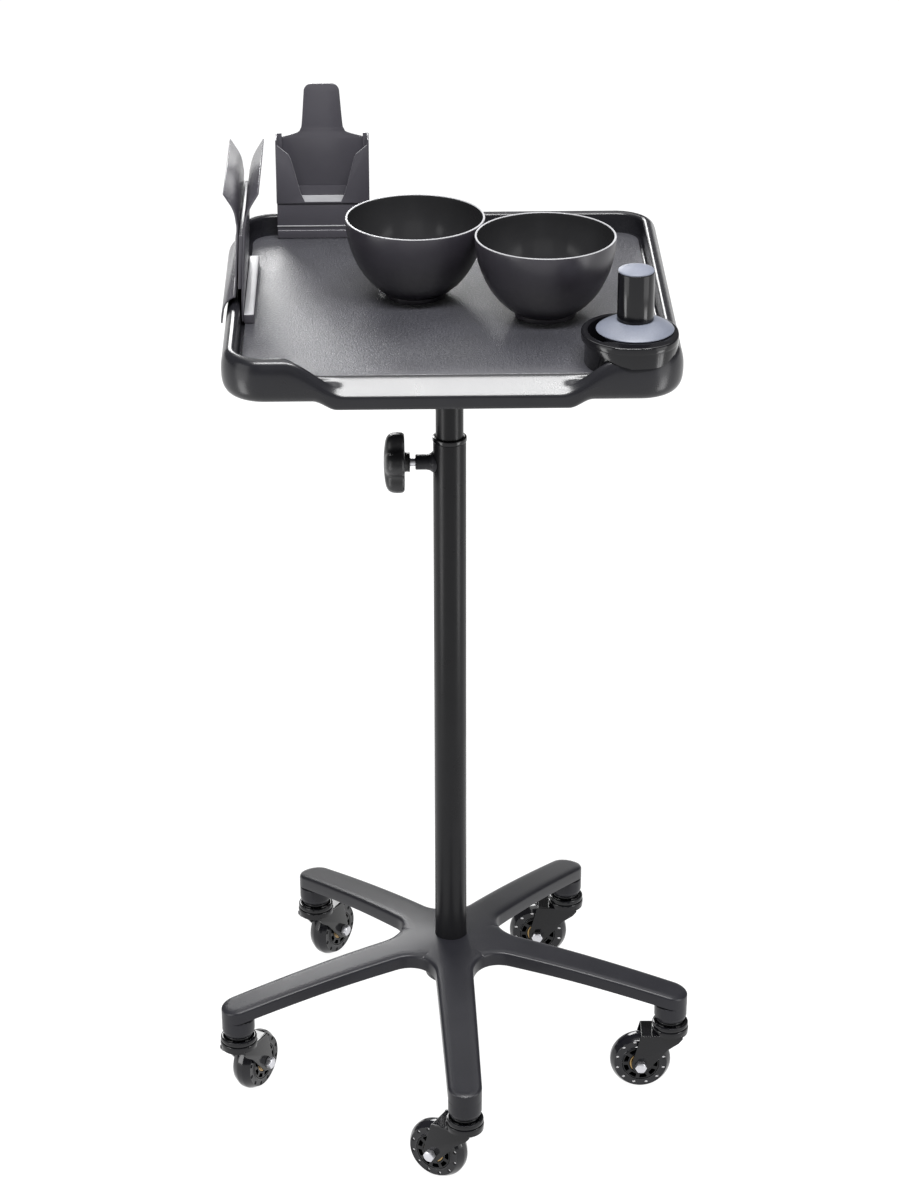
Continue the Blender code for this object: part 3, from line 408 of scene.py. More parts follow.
def star_mesh():
    stations = [0.008, 0.016, 0.024, 0.032, 0.038]
    stations += [CROTCH_X + (FILLET_X - CROTCH_X) * (i / 12) ** 1.6 for i in range(13)]
    stations += [mixed(FILLET_X, STEM_RADIUS, i / 22) for i in range(1, 23)]
    stations += [STEM_RADIUS + HALF_TIP * math.sin(math.radians(a)) for a in range(9, 91, 9)]
    edge = [(x, arm_half(x)) for x in stations if x >= CROTCH_X - 1e-9]

    def top(x, y):
        inside = min(math.hypot(x - ex, abs(y) - ey) for ex, ey in edge)
        if x > FILLET_X:
            inside = min(inside, arm_half(x) - abs(y))
        near = max(0.0, 1.0 - inside / EDGE_REACH)
        return spine(math.hypot(x, y)) - EDGE_DROP * (1 - math.sqrt(max(0.0, 1 - near * near)))

    across = (1.0, 0.985, 0.955, 0.91, 0.84, 0.72, 0.5, 0.25)
    across = [-v for v in across] + [0.0] + list(reversed(across))

    def quads(a, b):
        for i in range(len(a) - 1):
            bm.faces.new((a[i], b[i], b[i + 1], a[i + 1]))

    bm = bmesh.new()
    for arm in range(ARMS):
        turn = Matrix.Rotation(2 * SECTOR * arm, 4, "Z")
        rows = []
        for x in stations:
            half = arm_half(x)
            upper = [(x, v * half, top(x, v * half)) for v in across]
            r_edge = math.hypot(x, half)
            lower = []
            for v in (1.0, 0.5, 0.0, -0.5, -1.0):
                r = math.hypot(x, v * half)
                lower.append((x, v * half, spine(r) - EDGE_DROP - side_depth(r)))
            sides = []
            if x >= CROTCH_X - 1e-9:
                z = spine(r_edge) - EDGE_DROP
                draft = 0.0002 if x < STEM_RADIUS else 0.0
                for t, out in ((0.12, 0.6), (0.5, 1.0), (0.9, 1.0)):
                    sides.append((out * draft, z - side_depth(r_edge) * t))
            rows.append((
                [bm.verts.new(turn @ Vector(p)) for p in upper],
                [bm.verts.new(turn @ Vector((x, half + out, z))) for out, z in sides],
                [bm.verts.new(turn @ Vector(p)) for p in lower],
                [bm.verts.new(turn @ Vector((x, -half - out, z))) for out, z in reversed(sides)]))
        first = rows[0]
        bm.faces.new(first[0] + first[2])
        for (up_a, right_a, low_a, left_a), (up_b, right_b, low_b, left_b) in zip(rows, rows[1:]):
            quads(up_a, up_b)
            quads(low_a, low_b)
            if right_a:
                quads([up_a[-1], *right_a, low_a[0]], [up_b[-1], *right_b, low_b[0]])
                quads([low_a[-1], *left_a, up_a[0]], [low_b[-1], *left_b, up_b[0]])
    shell = to_mesh(bm, 1e-5)
    rows = []
    for i in range(15):
        x = mixed(0.064, 0.205, i / 14)
        half, high = arm_half(x) - ARM_WALL, spine(x) - EDGE_DROP - ARM_WALL
        rows.append([(x, -half, 0.05), (x, half, 0.05), (x, half, high - 0.002),
                     (x, half - 0.002, high), (x, -half + 0.002, high), (x, -half, high - 0.002)])
    channel = loft(rows)
    boss = turned(rounded([(0, 0.098), (HALF_TIP - 0.00015, 0.098), (HALF_TIP - 0.00015, 0.0850),
                           (HALF_TIP - 0.0012, 0.0812), (HALF_TIP - 0.0042, 0.0800), (0, 0.0800)],
                          0.0016, 4), 64)
    pin = turned([(0, 0.104), (STEM_BORE, 0.104), (STEM_BORE, 0.07), (0, 0.07)], 24)
    hub = turned(rounded([(0, 0.138), (0.0262, 0.138), (0.027, 0.112), (0.0262, 0.1005),
                          (0.0247, 0.1000), (0, 0.1000)], 0.0008), 72)
    bore = turned([(0, 0.2), (0.0163, 0.2), (0.0163, 0.1063), (0.0056, 0.1063), (0.0056, 0.09),
                   (0, 0.09)], 72)
    angles = [2 * SECTOR * i for i in range(ARMS)]

    def at_stems(mesh):
        return [moved(mesh, STEM_RADIUS * math.cos(a), STEM_RADIUS * math.sin(a)) for a in angles]

    star = combined(shell, [hub, merged(at_stems(boss))], "UNION")
    star = combined(star, [bore, merged([moved(channel, turn=a) for a in angles]),
                           merged(at_stems(pin))], "DIFFERENCE")
    return moved(star, turn=FRONT_ARM)


piece("base_casting", star_mesh(), POWDER, "base", ["base_star"], sharp=58)


# ---------------------------------------------------------------- column and clamp
TUBE_R, TUBE_BORE, TUBE_FOOT, TUBE_TOP = 0.016, 0.0145, 0.1066, 0.694
MAST_R, MAST_BORE, MAST_FOOT, MAST_TOP = 0.0134, 0.0119, 0.420, 0.812
CLAMP_Z = 0.672
FINE = 96                               # sides of the roundest turned pieces
piece("outer_tube",
      turned(rounded([(TUBE_R, TUBE_TOP), (TUBE_R, TUBE_FOOT), (0.0053, TUBE_FOOT),
                      (0.0053, 0.1156), (TUBE_BORE, 0.1156), (TUBE_BORE, TUBE_TOP)],
                     0.0004, 3, True), FINE), TUBE, "base", ["column_tube"])
piece("tube_bush", turned(rounded([(0.0150, 0.6990), (0.0164, 0.6985), (0.0167, 0.6965),
                                   (0.0165, 0.6943), (0.0142, 0.6943), (0.0142, 0.680),
                                   (0.0137, 0.680), (0.0137, 0.6990)], 0.0004, 3, True), FINE),
      GLOSS, "base", ["guide_bush"])
boss = turned(rounded([(0.0043, 0.0330), (0.0070, 0.0330), (0.0075, 0.0325), (0.0075, 0.0225),
                       (0.0082, 0.0190), (0.0105, 0.0160), (0.0112, 0.0120), (0.0043, 0.0120)],
                      0.0006, 3, True), 64)
TO_LEFT = Matrix.Rotation(-math.pi / 2, 4, "Y")


def along_minus_x(mesh, z=0.0):
    mesh = mesh.copy()
    mesh.transform(Matrix.Translation((0, 0, z)) @ TO_LEFT)
    return mesh


tube_cutter = turned([(0, 0.72), (0.0166, 0.72), (0.0166, 0.62), (0, 0.62)], FINE)
piece("boss", combined(along_minus_x(boss, CLAMP_Z), [tube_cutter], "DIFFERENCE"), POWDER, "base",
      ["clamp_boss"])
piece("stud", along_minus_x(turned(rounded([(0, 0.0560), (0.0040, 0.0560), (0.0040, 0.0182),
                                            (0.0032, 0.0173), (0, 0.0173)], 0.0003), 32), CLAMP_Z),
      ZINC, "clamp_knob", ["clamp_stud"])


def knob_mesh():
    """Five-lobed knob: rings of a lobed outline whose size follows a rounded profile."""
    profile = [(0.0, 0.0382), (0.0088, 0.0382), (0.0094, 0.0398), (0.0096, 0.0428),
               (0.0150, 0.0432), (0.0262, 0.0434), (0.0286, 0.0442), (0.0298, 0.0462),
               (0.0300, 0.0490), (0.0300, 0.0518), (0.0294, 0.0555), (0.0276, 0.0588),
               (0.0240, 0.0610), (0.0190, 0.0622), (0.0120, 0.0630), (0.0060, 0.0634),
               (0.0, 0.0635)]
    lobes, dent, sides = 5, 0.0068, 160
    bm = bmesh.new()
    rows = []
    for r, z in smoothed(profile, 2):
        if r < 1e-5:
            rows.append([bm.verts.new((0, 0, z))])
            continue
        row = []
        lobed = smooth_step(r, 0.0100, 0.0262)
        for i in range(sides):
            turn = 2 * math.pi * i / sides
            lobe = 0.5 + 0.5 * math.cos(lobes * turn)
            reach = r - dent * (1 - lobe) ** 1.6 * lobed
            row.append(bm.verts.new((reach * math.cos(turn), reach * math.sin(turn), z)))
        rows.append(row)
    bridge(bm, zip(rows, rows[1:]))
    return along_minus_x(to_mesh(bm), CLAMP_Z)


piece("knob", knob_mesh(), KNOB, "clamp_knob", ["clamp_knob"], sharp=50)
piece("mast_tube",
      turned(rounded([(MAST_R, MAST_TOP), (MAST_R, MAST_FOOT), (MAST_BORE, MAST_FOOT),
                      (MAST_BORE, MAST_TOP)], 0.0003, 3, True), FINE), TUBE, "tray", ["inner_tube"])
piece("bracket", turned(rounded([(0, 0.8183), (0.0595, 0.8183), (0.0600, 0.8153), (0.0205, 0.8153),
                                 (0.0172, 0.8118), (0.0170, 0.785), (0.0137, 0.785),
                                 (0.0137, 0.8123), (0, 0.8123)], 0.0006), FINE), POWDER, "tray",
      ["tray_bracket"])
screw = turned(rounded([(0, 0.8150), (0.0045, 0.8150), (0.0042, 0.8132), (0.0030, 0.8122),
                        (0.0014, 0.8120), (0.0014, 0.8134), (0, 0.8134)], 0.0003), 32)
SCREWS, SCREW_CIRCLE = 4, 0.046
for i in range(SCREWS):
    a = 2 * math.pi / SCREWS * (i + 0.5)
    piece(f"screw_{i + 1}", moved(screw, SCREW_CIRCLE * math.cos(a), SCREW_CIRCLE * math.sin(a)),
          ZINC, "tray", [f"bracket_screw_{i + 1}"])


# ---------------------------------------------------------------- casters
WHEEL_R, TRAIL = 0.031, 0.0297
RING_TOP, CROWN_TOP, FORK_HALF, LEG = 0.0767, 0.066, 0.0152, 0.0026
CROWN_R, STEM_R = 0.0184, 0.0054
TYRE_HALF, CORE_HALF = 0.012, 0.0108
PLUGS, PLUG_CIRCLE = 12, 0.0243
WINDOWS = 9                             # cut-outs round each face of a wheel core


def fork_mesh():
    eye, hole_r = 0.0093, 0.0044
    leg = [(-0.0125, CROWN_TOP), (-0.0125, 0.0622), (-0.0085, 0.0570), (0.0020, 0.0495)]
    leg += [(TRAIL + eye * math.cos(math.radians(a)), WHEEL_R + eye * math.sin(math.radians(a)))
            for a in range(-140, 21, 10)]
    leg += [(0.0300, CROWN_TOP)]
    hole = [(TRAIL + hole_r * math.cos(math.radians(a)), WHEEL_R + hole_r * math.sin(math.radians(a)))
            for a in range(0, 360, 15)]
    sheet = plate([rounded(leg, 0.0012, 4, True), hole], -LEG / 2, LEG / 2, 0.0005)
    legs = [moved(sheet, y=side * (FORK_HALF - LEG / 2), tilt=math.pi / 2) for side in (-1, 1)]
    half = FORK_HALF - 0.0004
    rear = [(-CROWN_R * math.sin(math.radians(a)), CROWN_R * math.cos(math.radians(a)))
            for a in range(40, 141, 10)]
    crown = plate([[(0.0296, half), (-0.0110, half), *rear, (-0.0110, -half), (0.0296, -half)]],
                  CROWN_TOP - 0.0026, CROWN_TOP - 0.0002, 0.0003)
    profile = [(0.0156, RING_TOP - 0.0010), (0.0160, RING_TOP - 0.0001), (0.0170, RING_TOP),
               (0.0180, RING_TOP - 0.0006), (CROWN_R, RING_TOP - 0.0018), (CROWN_R, 0.0732),
               (0.0181, 0.0724), (0.0174, 0.0720), (0.0174, 0.0714), (CROWN_R, 0.0710),
               (0.0188, 0.0700), (0.0188, 0.0680), (0.0185, CROWN_TOP), (0.0185, CROWN_TOP - 0.001),
               (STEM_BORE, CROWN_TOP - 0.001), (STEM_BORE, RING_TOP - 0.0022),
               (0.0140, RING_TOP - 0.0022)]
    rings = turned(profile)
    pin = turned([(0, 0.08), (STEM_BORE, 0.08), (STEM_BORE, 0.06), (0, 0.06)], 32)
    body = combined(crown, legs + [rings], "UNION")
    return combined(body, [pin], "DIFFERENCE")


def stem_mesh():
    low = RING_TOP + 0.0003
    head = CROWN_TOP - 0.0029
    return turned(rounded([(0, 0.103), (STEM_R, 0.103), (STEM_R, 0.0797), (0.0140, 0.0797),
                           (0.0140, low), (STEM_R, low), (STEM_R, head), (0.0085, head),
                           (0.0080, head - 0.0030), (0, head - 0.0030)], 0.0005), 64)


def on_both_faces(mesh):
    """Copies of a small shape on the plug circle, on both faces of a wheel."""
    copies = []
    for i in range(PLUGS):
        a = 2 * math.pi * (i + 0.5) / PLUGS
        x, y = PLUG_CIRCLE * math.cos(a), PLUG_CIRCLE * math.sin(a)
        copies += [moved(mesh, x, y), moved(mesh, x, y, tilt=math.pi)]
    return merged(copies)


def tyre_mesh():
    half = TYRE_HALF
    side = [(0.0189, half - 0.0012), (0.0196, half - 0.0010), (0.0202, half - 0.0020),
            (0.0262, half - 0.0020), (0.0266, half - 0.0016), (0.0272, half - 0.0024),
            (0.0286, half - 0.0047), (0.0300, half - 0.0070), (0.0308, 0.0028), (WHEEL_R, 0.0)]
    profile = side + [(r, -z) for r, z in reversed(side[:-1])]
    tyre = turned(rounded(profile, 0.0007, 3, True), FINE)
    hole = turned([(0, half), (0.0020, half), (0.0020, half - 0.0060), (0, half - 0.0060)], 20)
    return combined(tyre, [on_both_faces(hole)], "DIFFERENCE")


def plugs_mesh():
    plug = turned(rounded([(0, 0.0078), (0.0015, 0.0077), (0.0019, 0.0073), (0.0019, 0.0062),
                           (0, 0.0062)], 0.0003), 20)
    return on_both_faces(plug)


def core_mesh():
    half = CORE_HALF
    body = turned(rounded([(0.0186, half), (0.0186, -half), (0.0114, -half), (0.0114, -0.0031),
                           (0.0070, -0.0031), (0.0070, 0.0031), (0.0114, 0.0031),
                           (0.0114, half)], 0.0005, 3, True))
    cutters = []
    for i in range(WINDOWS):
        middle = 2 * math.pi * i / WINDOWS
        spread = math.radians(14)
        outline = [(0.0174 * math.cos(middle + spread * t), 0.0174 * math.sin(middle + spread * t))
                   for t in (-1, -0.5, 0, 0.5, 1)]
        outline += [(0.0131 * math.cos(middle + spread * t), 0.0131 * math.sin(middle + spread * t))
                    for t in (0.85, 0.4, 0, -0.4, -0.85)]
        wedge = plate([rounded(outline, 0.0006, 2, True)], 0.0012, 0.02, 0.0001)
        cutters += [wedge, moved(wedge, z=-0.0212)]
    return combined(body, [merged(cutters)], "DIFFERENCE")


def axle_meshes():
    end = FORK_HALF + 0.0030
    shank = turned([(0, end), (0.0040, end), (0.0040, -end), (0, -end)], 32)
    near = FORK_HALF + 0.0003
    heads = []
    for high, corner in ((0.0060, 0.0060), (0.0054, 0.0060)):
        hexagon = turned([(0, near + high), (corner, near + high), (corner, near), (0, near)], 6)
        dome = turned([(0, near + high - 0.0001), (0.0045, near + high - 0.0002),
                       (0.0052, near + high - 0.0006), (0.0065, near + high - 0.0016),
                       (0.0065, near), (0, near)], 48)
        heads.append(combined(hexagon, [dome], "INTERSECT"))
    heads[1].transform(Matrix.Rotation(math.pi, 4, "X"))
    return combined(shank, heads, "UNION")


def on_axle(mesh):
    mesh.transform(Matrix.Rotation(math.pi / 2, 4, "X"))
    return mesh


fork, stem = fork_mesh(), stem_mesh()
tyre, plugs, wheel_core, axle = (on_axle(m) for m in (tyre_mesh(), plugs_mesh(), core_mesh(),
                                                      axle_meshes()))
bearing = on_axle(turned(rounded([(0.0110, 0.0104), (0.0110, -0.0104), (0.0096, -0.0104),
                                  (0.0092, -0.0100), (0.0074, -0.0100), (0.0070, -0.0104),
                                  (0.0043, -0.0104), (0.0043, 0.0104), (0.0070, 0.0104),
                                  (0.0074, 0.0100), (0.0092, 0.0100), (0.0096, 0.0104)],
                                 0.0003, 2, True), 64))
for n in range(1, 6):
    swivel, spin = JOINTS[f"caster_{n}_swivel"], JOINTS[f"wheel_{n}_spin"]
    stem_at, wheel_at = Vector(swivel["pos_m"]), Vector(spin["pos_m"])
    trail = wheel_at - stem_at
    heading = math.atan2(trail.y, trail.x)
    upright = Matrix.Translation((stem_at.x, stem_at.y, 0)) @ Matrix.Rotation(heading, 4, "Z")
    facing = heading + (0.0 if math.cos(heading) > 0 else math.pi)
    hub = Matrix.Translation(wheel_at) @ Matrix.Rotation(facing, 4, "Z")
    piece(f"stem_{n}", stem, GLOSS, "base", [f"caster_{n}_stem"], at=upright)
    piece(f"fork_{n}", fork, GLOSS, f"caster_{n}", [f"caster_{n}_fork"], at=upright)
    piece(f"axle_{n}", axle, ZINC, f"caster_{n}", [f"wheel_{n}_axle"], at=hub)
    piece(f"tyre_{n}", tyre, SMOKY, f"wheel_{n}", [f"wheel_{n}_tyre"], at=hub)
    # the glowing plugs are painted light in the tyre's holes
    piece(f"plugs_{n}", plugs, GLOWING_PLUG, f"wheel_{n}", at=hub)
    piece(f"core_{n}", wheel_core, GLOSS, f"wheel_{n}", [f"wheel_{n}_core"], at=hub)
    piece(f"bearing_{n}", bearing, BRASS, f"wheel_{n}", [f"wheel_{n}_bearings"], at=hub)


# ---------------------------------------------------------------- tray
FLOOR_Z = 0.832
HALF_WIDTH, TRAY_FRONT, TRAY_REAR, CORNER = 0.2083, -0.192, 0.219, 0.040
FULL_AT, INNER_AT, OUTER_AT = 0.152, 0.118, 0.096
CORNER_X, CORNER_LOW, CORNER_HIGH = HALF_WIDTH - CORNER, TRAY_FRONT + CORNER, TRAY_REAR - CORNER
CORNERS = ((CORNER_X, CORNER_LOW, -90), (CORNER_X, CORNER_HIGH, 0),
           (-CORNER_X, CORNER_HIGH, 90), (-CORNER_X, CORNER_LOW, 180))
RIM, FLOOR_LOW = 0.0195, -0.0023
# sections of the rim as (distance in from the outer edge, height over the floor), point for
# point the same way round: the full rim, and the lowered lip that it blends into at the front
FULL_RIM = [
    (0.0163, FLOOR_LOW), (0.0143, 0.0002), (0.0137, 0.0150), (0.0128, 0.0181), (0.0102, RIM),
    (0.0066, RIM - 0.0006), (0.0030, RIM - 0.0042), (0.0008, RIM - 0.0110), (0.0000, 0.0010),
    (0.0003, -0.0080), (0.0018, -0.0145), (0.0052, -0.0195), (0.0100, -0.0217),
    (0.0104, -0.0189), (0.0064, -0.0166), (0.0042, -0.0125), (0.0030, 0.0000),
    (0.0046, 0.0120), (0.0078, 0.0155), (0.0108, 0.0110), (0.0112, -0.0028), (0.0150, -0.0060),
]
LOW_LIP = [
    (0.0175, FLOOR_LOW), (0.0173, -0.0004), (0.0166, 0.0000), (0.0148, -0.0010),
    (0.0110, -0.0045), (0.0068, -0.0085), (0.0030, -0.0122), (0.0008, -0.0144),
    (0.0000, -0.0165), (0.0000, -0.0212), (0.0006, -0.0250), (0.0030, -0.0276),
    (0.0080, -0.0286),
    (0.0084, -0.0258), (0.0046, -0.0248), (0.0032, -0.0222), (0.0030, -0.0182),
    (0.0048, -0.0155), (0.0080, -0.0118), (0.0112, -0.0084), (0.0136, -0.0068),
    (0.0155, -0.0060),
]


def plan(per_corner=18):
    """Stations round the tray: a point inside the rim and the direction outwards from it."""
    lip = [0.0, 0.030, 0.060, 0.085]
    lip += [mixed(0.090, 0.156, i / 26) for i in range(27)]
    front = [-x for x in reversed(lip[1:])] + lip
    stations = [((x, CORNER_LOW), (0.0, -1.0)) for x in front]
    for x, y, start in CORNERS:
        for i in range(per_corner + 1):
            a = math.radians(start + 90 * i / per_corner)
            stations.append(((x, y), (math.cos(a), math.sin(a))))
    return stations


def from_middle(x, dy):
    """Distance from the middle of the front side; the other sides count as its far end."""
    return abs(x) if abs(dy + 1.0) < 1e-6 else HALF_WIDTH


def edge_section(across):
    inner = smooth_step(across, FULL_AT, INNER_AT)
    outer = smooth_step(across, FULL_AT, OUTER_AT)
    bottom = smooth_step(across, 0.126, 0.104)
    points = []
    for i, (full, low) in enumerate(zip(FULL_RIM, LOW_LIP)):
        t = inner if i < 5 else bottom if 9 <= i < 16 else outer
        points.append((mixed(full[0], low[0], t), mixed(full[1], low[1], t)))
    return smoothed(points, 4)


def tray_mesh():
    columns = []
    for (x, y), (dx, dy) in plan():
        columns.append([(x + dx * (CORNER - inset), y + dy * (CORNER - inset), FLOOR_Z + z)
                        for inset, z in edge_section(from_middle(x, dy))])
    shell = loft([list(ring) for ring in zip(*columns)])
    pad = turned(rounded([(0, 0.8275), (0.0640, 0.8275), (0.0620, 0.8186), (0, 0.8186)], 0.001),
                 FINE)
    return combined(shell, [pad], "UNION")


def floor_outline(edge, steps=14):
    """The tray's outline, moved in by edge."""
    radius = CORNER - edge
    return [(x + radius * math.cos(math.radians(start + 90 * i / steps)),
             y + radius * math.sin(math.radians(start + 90 * i / steps)))
            for x, y, start in CORNERS
            for i in range(steps + 1)]


piece("tray_shell", tray_mesh(), SATIN, "tray", ["tray_body"], sharp=40)
piece("mat", plate([floor_outline(0.0179)], FLOOR_Z - 0.002, FLOOR_Z, 0.0006), MAT, "tray",
      ["tray_mat"])


# ---------------------------------------------------------------- bowls
BOWL_HIGH = 0.0773
BOWL_CREST = BOWL_HIGH - 0.0005         # the painted highlight on the rim starts here
BOWL_INSIDE_R, BOWL_INSIDE_Z = 0.0640, 0.005
BOWLS = {"bowl_left": (-0.0313, 0.0308), "bowl_right": (0.0889, -0.0240)}


def bowl_mesh():
    radius, high, low, foot_r, wall = 0.0658, BOWL_HIGH, 0.0040, 0.0289, 0.0022
    depth = (high - low) / math.sqrt(1.0 - (foot_r / radius) ** 2)

    def at(z, r):
        return r * math.sqrt(max(0.0, 1.0 - ((high - z) / depth) ** 2))

    steps = 22
    heights = [mixed(low, high - 0.0012, (1 - i / steps) ** 1.3) for i in range(steps + 1)]
    outside = [(at(z, radius), z) for z in heights]
    foot = [(foot_r + 0.0001, low - 0.0006), (foot_r, 0.0006), (foot_r - 0.0004, 0.0003),
            (foot_r - 0.0022, 0.0003), (foot_r - 0.0028, 0.0012), (foot_r - 0.004, 0.0020),
            (0.0, 0.0026)]
    inside = [(0.0, 0.0056), (0.010, 0.0057), (0.020, 0.0062)]
    for z in reversed(heights):
        r = at(z, radius) - wall
        if r > 0.0265:
            inside.append((r, z + wall * (1.0 - z / high)))
    crest = [(radius - wall + 0.0001, high - 0.0004), (radius - wall + 0.0004, high),
             (radius - 0.0004, high), (radius - 0.0001, high - 0.0004)]
    return turned(inside + crest + outside + foot, 112)


bowl = bowl_mesh()
for name, (x, y) in BOWLS.items():
    middle = COLUMN + Vector((x, y, FLOOR_Z))
    made = piece(name.replace("bowl", "tint_bowl"), bowl, [BOWL_OUT, BOWL_IN, BOWL_RIM_HIGHLIGHT], name,
                 [name], at=Matrix.Translation(middle), sharp=36)
    for face in made.data.polygons:
        centre = face.center - middle
        inward = face.normal.x * centre.x + face.normal.y * centre.y < 0 or face.normal.z > 0.3
        if (inward and centre.z > BOWL_INSIDE_Z
                and math.hypot(centre.x, centre.y) < BOWL_INSIDE_R):
            face.material_index = 1
        # faces above the crest get the painted rim highlight colour
        if centre.z > BOWL_CREST:
            face.material_index = 2


# ---------------------------------------------------------------- holders
SHEET_T = 0.0016
SIDE_START, SIDE_END = -0.0445, 0.1160  # the side holder's ends along Y


def laid(mesh, axis, start):
    """Stands a plate drawn as (across, up) upright, its thickness running along X or Y."""
    if axis == "Y":
        mesh.transform(Matrix(((1, 0, 0, 0), (0, 0, 1, start), (0, 1, 0, 0), (0, 0, 0, 1))))
    else:
        mesh.transform(Matrix(((0, 0, 1, start), (1, 0, 0, 0), (0, 1, 0, 0), (0, 0, 0, 1))))
    return mesh


def strip(path, start, end, axis):
    """A bent sheet with round edges: its section follows a smoothed path of (across, up)."""
    path = smoothed(path)
    left, right = [], []
    for i, (a, z) in enumerate(path):
        before, after = path[max(0, i - 1)], path[min(len(path) - 1, i + 1)]
        da, dz = after[0] - before[0], after[1] - before[1]
        length = math.hypot(da, dz)
        na, nz = -dz / length * SHEET_T / 2, da / length * SHEET_T / 2
        left.append((a + na, z + nz))
        right.append((a - na, z - nz))
    outline = rounded(left + list(reversed(right)), SHEET_T * 0.4, 3, True)
    bm = bmesh.new()
    bm.from_mesh(laid(plate([outline], 0.0, end - start, 0.0003), axis, start))
    return to_mesh(bm)


outer = strip([(-0.2068, 0.9590), (-0.2032, 0.9530), (-0.1994, 0.9467), (-0.1968, 0.9400),
               (-0.1955, 0.9310), (-0.1952, 0.9200), (-0.1985, 0.8640), (-0.2005, 0.8590),
               (-0.2050, 0.8560), (-0.2090, 0.8500), (-0.2112, 0.8420), (-0.2120, 0.8330)],
              SIDE_START, SIDE_END, "Y")
piece("side_outer", outer, SHEET, "side_holder", ["side_holder_outer_plate"])
inner = strip([(-0.1748, 0.9590), (-0.1784, 0.9530), (-0.1822, 0.9467), (-0.1852, 0.9400),
               (-0.1876, 0.9310), (-0.1890, 0.9200), (-0.1922, 0.8560), (-0.1924, 0.8345)],
              SIDE_START, SIDE_END, "Y")
piece("side_inner", inner, SHEET, "side_holder", ["side_holder_inner_plate"])
bar = cuboid((-0.1913, -0.1820), (SIDE_START, SIDE_END), (FLOOR_Z + 0.0003, 0.8415), 0.0008)
made = piece("side_bar", bar, [SHEET, SHEET_HIGHLIGHT], "side_holder")
# Painted highlight: the bar's upward faces take the light grey highlight colour, the rest the plain
# sheet.
for face in made.data.polygons:
    face.material_index = 1 if face.normal.z > 0.5 else 0
side_core = plate([rounded([(-0.1960, 0.8660), (-0.1929, 0.8660), (-0.1900, 0.9180),
                            (-0.1940, 0.9180)], 0.0006, 3, True)],
                  0.0, SIDE_END - SIDE_START - 0.002, 0.0004)
piece("side_core", laid(side_core, "Y", SIDE_START + 0.001), SHEET, "side_holder", ["side_holder_core"])


def mirrored(half, middle):
    """An outline from its right half."""
    return half + [(2 * middle - x, z) for x, z in reversed(half)]


